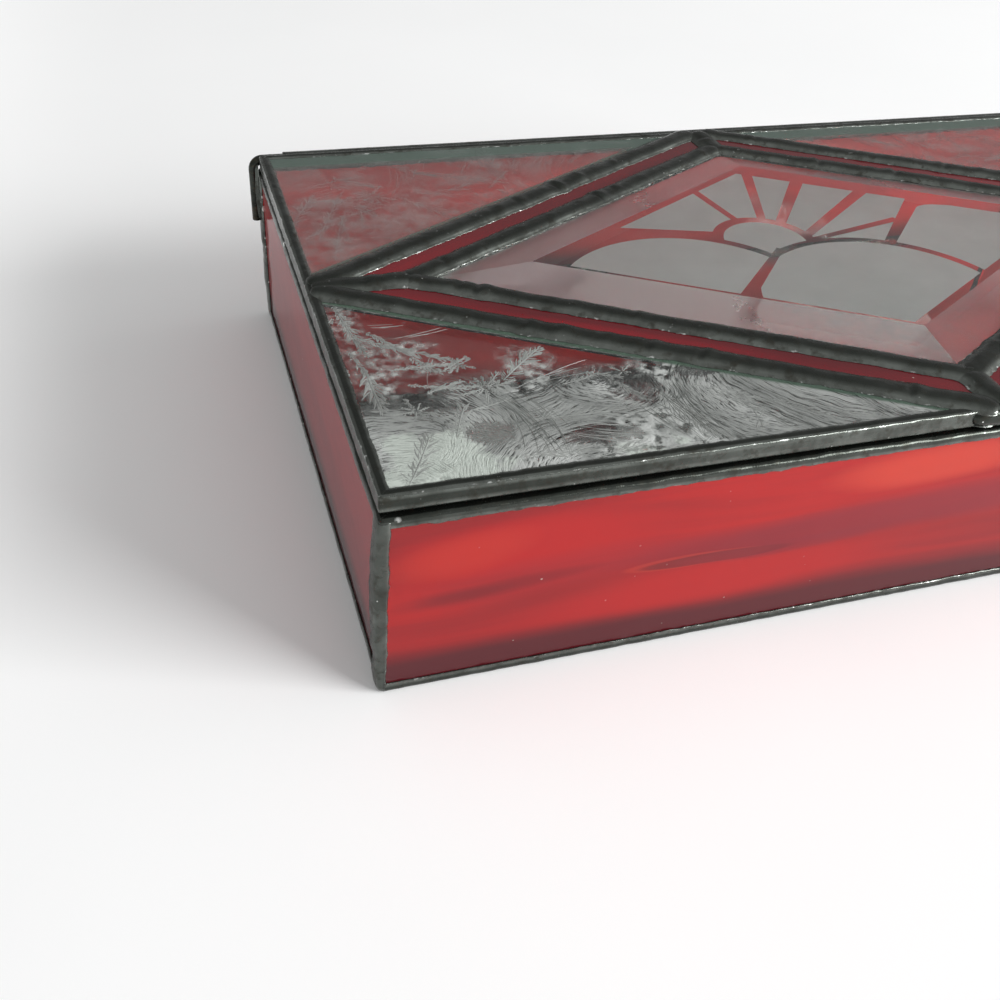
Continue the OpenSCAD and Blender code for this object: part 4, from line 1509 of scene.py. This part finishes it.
# %% Lines of the etching
ARCHES = {"left": ((-43.7, -23.2), 32.0), "right": ((2.0, -32.6), 31.4)}
SUN, SUN_R, SUN_GAP = (-13.6, 2.2), 10.6, 2.8
ARCH_GAP = 2.3

# Clear bands: start, end, half width at the start, half width at the end
STEM = ((-12.0, -2.0), (-36.0, -27.0), 0.9, 1.9)
RAYS = [
    ((-14.0, 5.0), (-20.2, 39.0), 0.9, 1.2),
    ((-12.2, 4.0), (4.0, 50.0), 1.0, 1.6),
    ((-11.6, 2.2), (19.0, 42.2), 1.2, 1.9),
    ((-8.0, -1.4), (42.0, 36.0), 1.1, 1.9),
    ((-6.0, 0.0), (27.8, 8.0), 0.8, 1.1),
]
BRANCH = ((14.3, -8.0), (41.5, 20.0), 1.3, 2.0)
# Plain glass at the left end of the rhombus, and outside the rounded corner of the last pane
CLEAR_ENDS = [
    [(-23.5, 9.2), (-50.0, 16.3), (-84.0, 24.0), (-84.0, -12.0), (-24.0, -1.0)],
    [(31.5, 8.2), (35.0, 11.6), (36.8, 13.1), (38.9, 14.1), (41.0, 14.6), (43.3, 14.4), (48.5, 12.9),
     (48.5, 19.0), (40.5, 19.0)],
]
# How far the matt area reaches from the middle of the lid towards each side of the rhombus
MATT_REACH = {("front", "left"): 33.6, ("front", "right"): 34.8,
              ("back", "right"): 36.0, ("back", "left"): 38.0}


def band_outline(start, end, half_start, half_end):
    direction = (Vector(end) - Vector(start)).normalized()
    side = Vector((-direction.y, direction.x))
    corners = [Vector(start) + side * half_start, Vector(end) + side * half_end,
               Vector(end) - side * half_end, Vector(start) - side * half_start]
    return [(c.x, c.y) for c in corners]


def circle_outline(middle, radius, count=72):
    return [(middle[0] + radius * math.cos(math.tau * i / count),
             middle[1] + radius * math.sin(math.tau * i / count)) for i in range(count)]


def matt_outline():
    """Corners of the matt area: where its four sides, in turn round the rhombus, meet."""
    lines = [(Vector((SIDES[side] * math.sin(SLOPE), SIDES[end] * math.cos(SLOPE))), reach)
             for (end, side), reach in MATT_REACH.items()]
    corners = []
    for (n1, r1), (n2, r2) in zip(lines, lines[1:] + lines[:1]):
        det = n1.x * n2.y - n1.y * n2.x
        corners.append(((r1 * n2.y - r2 * n1.y) / det, LID_MID + (n1.x * r2 - n2.x * r1) / det))
    return corners


MATT = matt_outline()
STEM_OUTLINE = band_outline(*STEM)
BAND_OUTLINES = [band_outline(*band) for band in RAYS + [BRANCH]]
print("corners of the matt area:", [(round(x, 1), round(y, 1)) for x, y in MATT])


# %% Where the glass is matt
def sides_of(outline):
    return zip(outline, outline[1:] + outline[:1])


def inside(outline, x, y):
    """Whether (x, y) lies in a closed outline, by counting crossings."""
    crossed = False
    for (x1, y1), (x2, y2) in sides_of(outline):
        if (y1 > y) != (y2 > y) and x < (x2 - x1) * (y - y1) / (y2 - y1) + x1:
            crossed = not crossed
    return crossed


def beside(line, x, y):
    """Twice the area between the line and the point: positive on its left."""
    (x1, y1), (x2, y2) = line
    return (x2 - x1) * (y - y1) - (y2 - y1) * (x - x1)


def is_matt(x, y):
    """Whether the underside is etched at this place."""
    if not inside(MATT, x, y) or inside(STEM_OUTLINE, x, y):
        return False
    middle, radius = ARCHES["left" if beside(STEM[:2], x, y) < 0 else "right"]
    from_arch = math.dist((x, y), middle) - radius
    from_sun = math.dist((x, y), SUN) - SUN_R
    if from_arch < ARCH_GAP:
        return from_arch < 0
    if from_sun < SUN_GAP:
        return from_sun < 0
    return not any(inside(outline, x, y) for outline in BAND_OUTLINES + CLEAR_ENDS)


print(f"etching: {len(BAND_OUTLINES)} bands, {len(ARCHES)} arches and a sun")


# %% Materials of the bevel
def make_clear_bevel():
    material, place = new_material("clear_bevel_glass")
    smears = noise_at(stretch(place, (60.0, 220.0, 60.0)), 1.0, 4.0, 0.6)
    return finish_material(material, Base_Color=(0.95, 0.975, 0.965), IOR=1.5, Transmission_Weight=1.0,
                           Roughness=remap(smears, 0.50, 0.80, 0.008, 0.045),
                           Normal=bumped(noise_at(place, 35.0, 2.0), 0.08, 0.0008))


def make_matt():
    material, place = new_material("etched_glass")
    cloud = remap(noise_at(place, 55.0, 4.0, 0.6), 0.3, 0.7)
    grain = noise_at(place, 5000.0, 2.0)
    return finish_material(material, Base_Color=blend(cloud, (0.63, 0.65, 0.62), (0.75, 0.77, 0.74)),
                           Roughness=remap(grain, 0.3, 0.7, 0.5, 0.7), IOR=1.5, Transmission_Weight=0.5,
                           Normal=bumped(grain, 0.2, 0.00005))


def make_ground_slope():
    """The slopes are ground and only half polished: wheel marks blur what lies below."""
    material, place = new_material("ground_slope_glass")
    marks = noise_at(stretch(place, (160.0, 160.0, 40.0)), 1.0, 3.0, 0.6)
    tip = remap(abs(separate(place)["X"]), 0.018, 0.060, 0.0, 0.30, smooth=True)
    return finish_material(material, Base_Color=(0.96, 0.93, 0.93), IOR=1.5, Transmission_Weight=0.96,
                           Roughness=tip + remap(marks, 0.35, 0.70, 0.12, 0.20),
                           Normal=bumped(marks, 0.06, 0.0004))


bevel_glass = [make_clear_bevel(), make_matt(), make_ground_slope()]
CLEAR, ETCHED, GROUND = range(3)
print("bevel glass:", ", ".join(material.name for material in bevel_glass))


# %% Bevel mesh
def rhombus_points(p):
    corners = corners_of_rhombus(p)
    return [(corners[name][0], corners[name][1] + LID_MID) for name in ("right", "back", "left", "front")]


def underside(outline):
    """Flat underside cut along all lines of the etching: vertices, faces, and a kind per face."""
    loops = [outline, MATT, circle_outline(SUN, SUN_R), circle_outline(SUN, SUN_R + SUN_GAP)]
    loops += [circle_outline(middle, radius + gap, 120) for middle, radius in ARCHES.values()
              for gap in (0, ARCH_GAP)]
    loops += [STEM_OUTLINE] + BAND_OUTLINES + CLEAR_ENDS
    points, edges = [], []
    for loop in loops:
        start = len(points)
        points += [Vector(point) for point in loop]
        edges += [(start + i, start + (i + 1) % len(loop)) for i in range(len(loop))]
    flat, _, triangles, *_ = geometry.delaunay_2d_cdt(points, edges, [], 0, 1e-4)

    vertices, faces, kinds, number = [], [], [], {}
    for triangle in triangles:
        x = sum(flat[i].x for i in triangle) / len(triangle)
        y = sum(flat[i].y for i in triangle) / len(triangle)
        if not inside(outline, x, y):
            continue
        for i in triangle:
            if i not in number:
                number[i] = len(vertices)
                vertices.append((flat[i].x, flat[i].y, LID_Z))
        faces.append(tuple(number[i] for i in reversed(triangle)))
        kinds.append(ETCHED if is_matt(x, y) else CLEAR)
    return vertices, faces, kinds


def on_outline(outline, x, y):
    return any(abs(beside(line, x, y)) / math.dist(*line) < 0.01 for line in sides_of(outline))


def make_bevel():
    outline = rhombus_points(INNER_P - 0.3)
    vertices, faces, kinds = underside(outline)

    # The rim of the underside may be cut by other lines, so its points are sorted round the middle
    border = [i for i, (x, y, _) in enumerate(vertices) if on_outline(outline, x, y)]
    border.sort(key=lambda i: math.atan2(vertices[i][1] - LID_MID, vertices[i][0]))
    upper = list(range(len(vertices), len(vertices) + len(border)))
    vertices += [(*vertices[i][:2], LID_Z + LID_T) for i in border]
    count = len(border)
    for i in range(count):
        j = (i + 1) % count
        faces.append((border[i], border[j], upper[j], upper[i]))
    lip = [len(vertices) + i for i in range(4)]
    ridge = [len(vertices) + 4 + i for i in range(4)]
    vertices += [(x, y, LID_Z + LID_T) for x, y in rhombus_points(LIP_P)]
    vertices += [(x, y, LID_Z + (LID_T + BEVEL_RISE)) for x, y in rhombus_points(RIDGE_P)]
    kinds += [CLEAR] * count
    corners = [upper.index(min(upper, key=lambda i: math.dist(vertices[i][:2], c))) for c in outline]
    for i in range(4):
        j = (i + 1) % 4
        start, stop = corners[i], corners[j]
        run = upper[start:stop + 1] if start <= stop else upper[start:] + upper[:stop + 1]
        faces += [tuple(run) + (lip[j], lip[i]), (lip[i], lip[j], ridge[j], ridge[i])]
        kinds += [CLEAR, GROUND]
    faces.append(tuple(ridge))
    kinds.append(CLEAR)
    piece = add_piece("bevelled_rhombus", (vertices, faces, None), "lid", "bevel_glass", "centre_bevel",
                      *bevel_glass, smooth=False)
    piece.data.polygons.foreach_set("material_index", kinds)
    print("bevel:", kinds.count(ETCHED), "matt faces of", len(kinds))


make_bevel()

# %% [markdown]
# ## Table, room and light
#
# The box stands on a plain pale table in soft daylight from the front right, so its shadow falls to
# the back left. A faint glow of the table softens the shadow there. The room is a dim even grey, a
# little lighter overhead, which keeps the black seams black. A pale wall on the right is what the
# beads and panes mirror. To the camera the room is white.

# %% Table
TABLE_TONES = [(0.895, 0.90, 0.90), (0.92, 0.925, 0.925)]
TABLE_HALF = 1.6
WHITE = (1.0, 1.0, 1.0)


def make_table_material():
    material, place = new_material("pale_table")
    tone = remap(noise_at(place, 6.0, 4.0), 0.3, 0.7)
    parts = separate(place)
    to_left = remap(parts["X"], -0.15, -0.29, 0.0, 0.15, smooth=True)
    glow = 0.05 + to_left * remap(parts["Y"], -0.10, 0.02)
    path = put(place.tree, "LightPath")
    mirrored = path["Is Glossy Ray"] + path["Is Transmission Ray"]
    seen = maths("ADD", path["Is Camera Ray"], mirrored, clamp=True)
    return finish_material(material, Base_Color=blend(tone, *TABLE_TONES), Roughness=0.75,
                           Normal=bumped(noise_at(place, 900.0, 2.0), 0.05, 0.0002),
                           Specular_IOR_Level=0.2, Emission_Color=WHITE, Emission_Strength=seen * glow)


def make_table():
    mesh = bpy.data.meshes.new("table")
    corners = [(-1, -1), (1, -1), (1, 1), (-1, 1)]
    mesh.from_pydata([(x * TABLE_HALF, y * TABLE_HALF, 0) for x, y in corners], [], [(0, 1, 2, 3)])
    mesh.materials.append(make_table_material())
    table = bpy.data.objects.new("table", mesh)
    bpy.context.scene.collection.objects.link(table)
    table.location.z = -0.0001


make_table()
print("table ready,", 2 * TABLE_HALF, "m wide")


# %% Room
def make_room():
    world = bpy.data.worlds.new("room")
    bpy.context.scene.world = world
    world.use_nodes = True
    tree = world.node_tree
    tree.nodes.clear()
    direction = put(tree, "TexCoord")["Generated"]
    parts = separate(direction)
    overhead = remap(parts["Z"], 0.55, 1.0, 0.45, 0.60, smooth=True)
    far_end = remap(parts["Y"], 0.25, 0.85, 1.0, 0.62, smooth=True)
    to_wall = vectors("DOT_PRODUCT", direction, (0.88, -0.08, 0.46))
    strength = overhead * far_end + remap(to_wall, 0.90, 0.985, 0.0, 0.9, smooth=True)
    seen = put(tree, "LightPath")["Is Camera Ray"]
    inputs = {"Color": blend(seen, WHITE, (0.92, 0.92, 0.92)), "Strength": between(seen, strength, 1.0)}
    put(tree, "OutputWorld", {0: put(tree, "Background", inputs)[0]})


make_room()
print("room ready")


# %% Window
WINDOW_PLACE = Vector((2.19, -1.71, 1.16))


def make_window():
    lamp = bpy.data.lights.new("window_right", "AREA")
    lamp.shape = "RECTANGLE"
    lamp.size, lamp.size_y = 1.8, 1.3
    lamp.energy = 130.0
    holder = bpy.data.objects.new("window_right", lamp)
    bpy.context.scene.collection.objects.link(holder)
    holder.location = WINDOW_PLACE
    holder.rotation_euler = (-WINDOW_PLACE).to_track_quat("-Z", "Y").to_euler()


make_window()
print("window ready")

# %% [markdown]
# ## Camera
#
# The camera looks down at the front left corner from close by, a little tilted. Its turn about the
# upright, its downward angle and its roll are written as angles, and its axes follow from them.

# %% Camera
def make_camera():
    turn, down, roll = 0.3555, 0.6849, 0.0839
    place = Vector((-0.1587, -0.2147, 0.1662))
    ahead = Vector((math.sin(turn) * math.cos(down), math.cos(turn) * math.cos(down), -math.sin(down)))
    level = Vector((math.cos(turn), -math.sin(turn), 0))
    above = level.cross(ahead)
    right = level * math.cos(roll) + above * math.sin(roll)
    up = above * math.cos(roll) - level * math.sin(roll)
    lens = bpy.data.cameras.new("camera")
    lens.lens, lens.sensor_width = 39.27, 36.0
    lens.clip_start = 0.01
    holder = bpy.data.objects.new("camera", lens)
    bpy.context.scene.collection.objects.link(holder)
    holder.matrix_world = Matrix.Translation(place) @ Matrix((right, up, -ahead)).transposed().to_4x4()
    bpy.context.scene.camera = holder


make_camera()
bpy.context.scene.view_settings.view_transform = "Standard"
print("camera ready, lens", round(bpy.context.scene.camera.data.lens, 2), "mm")
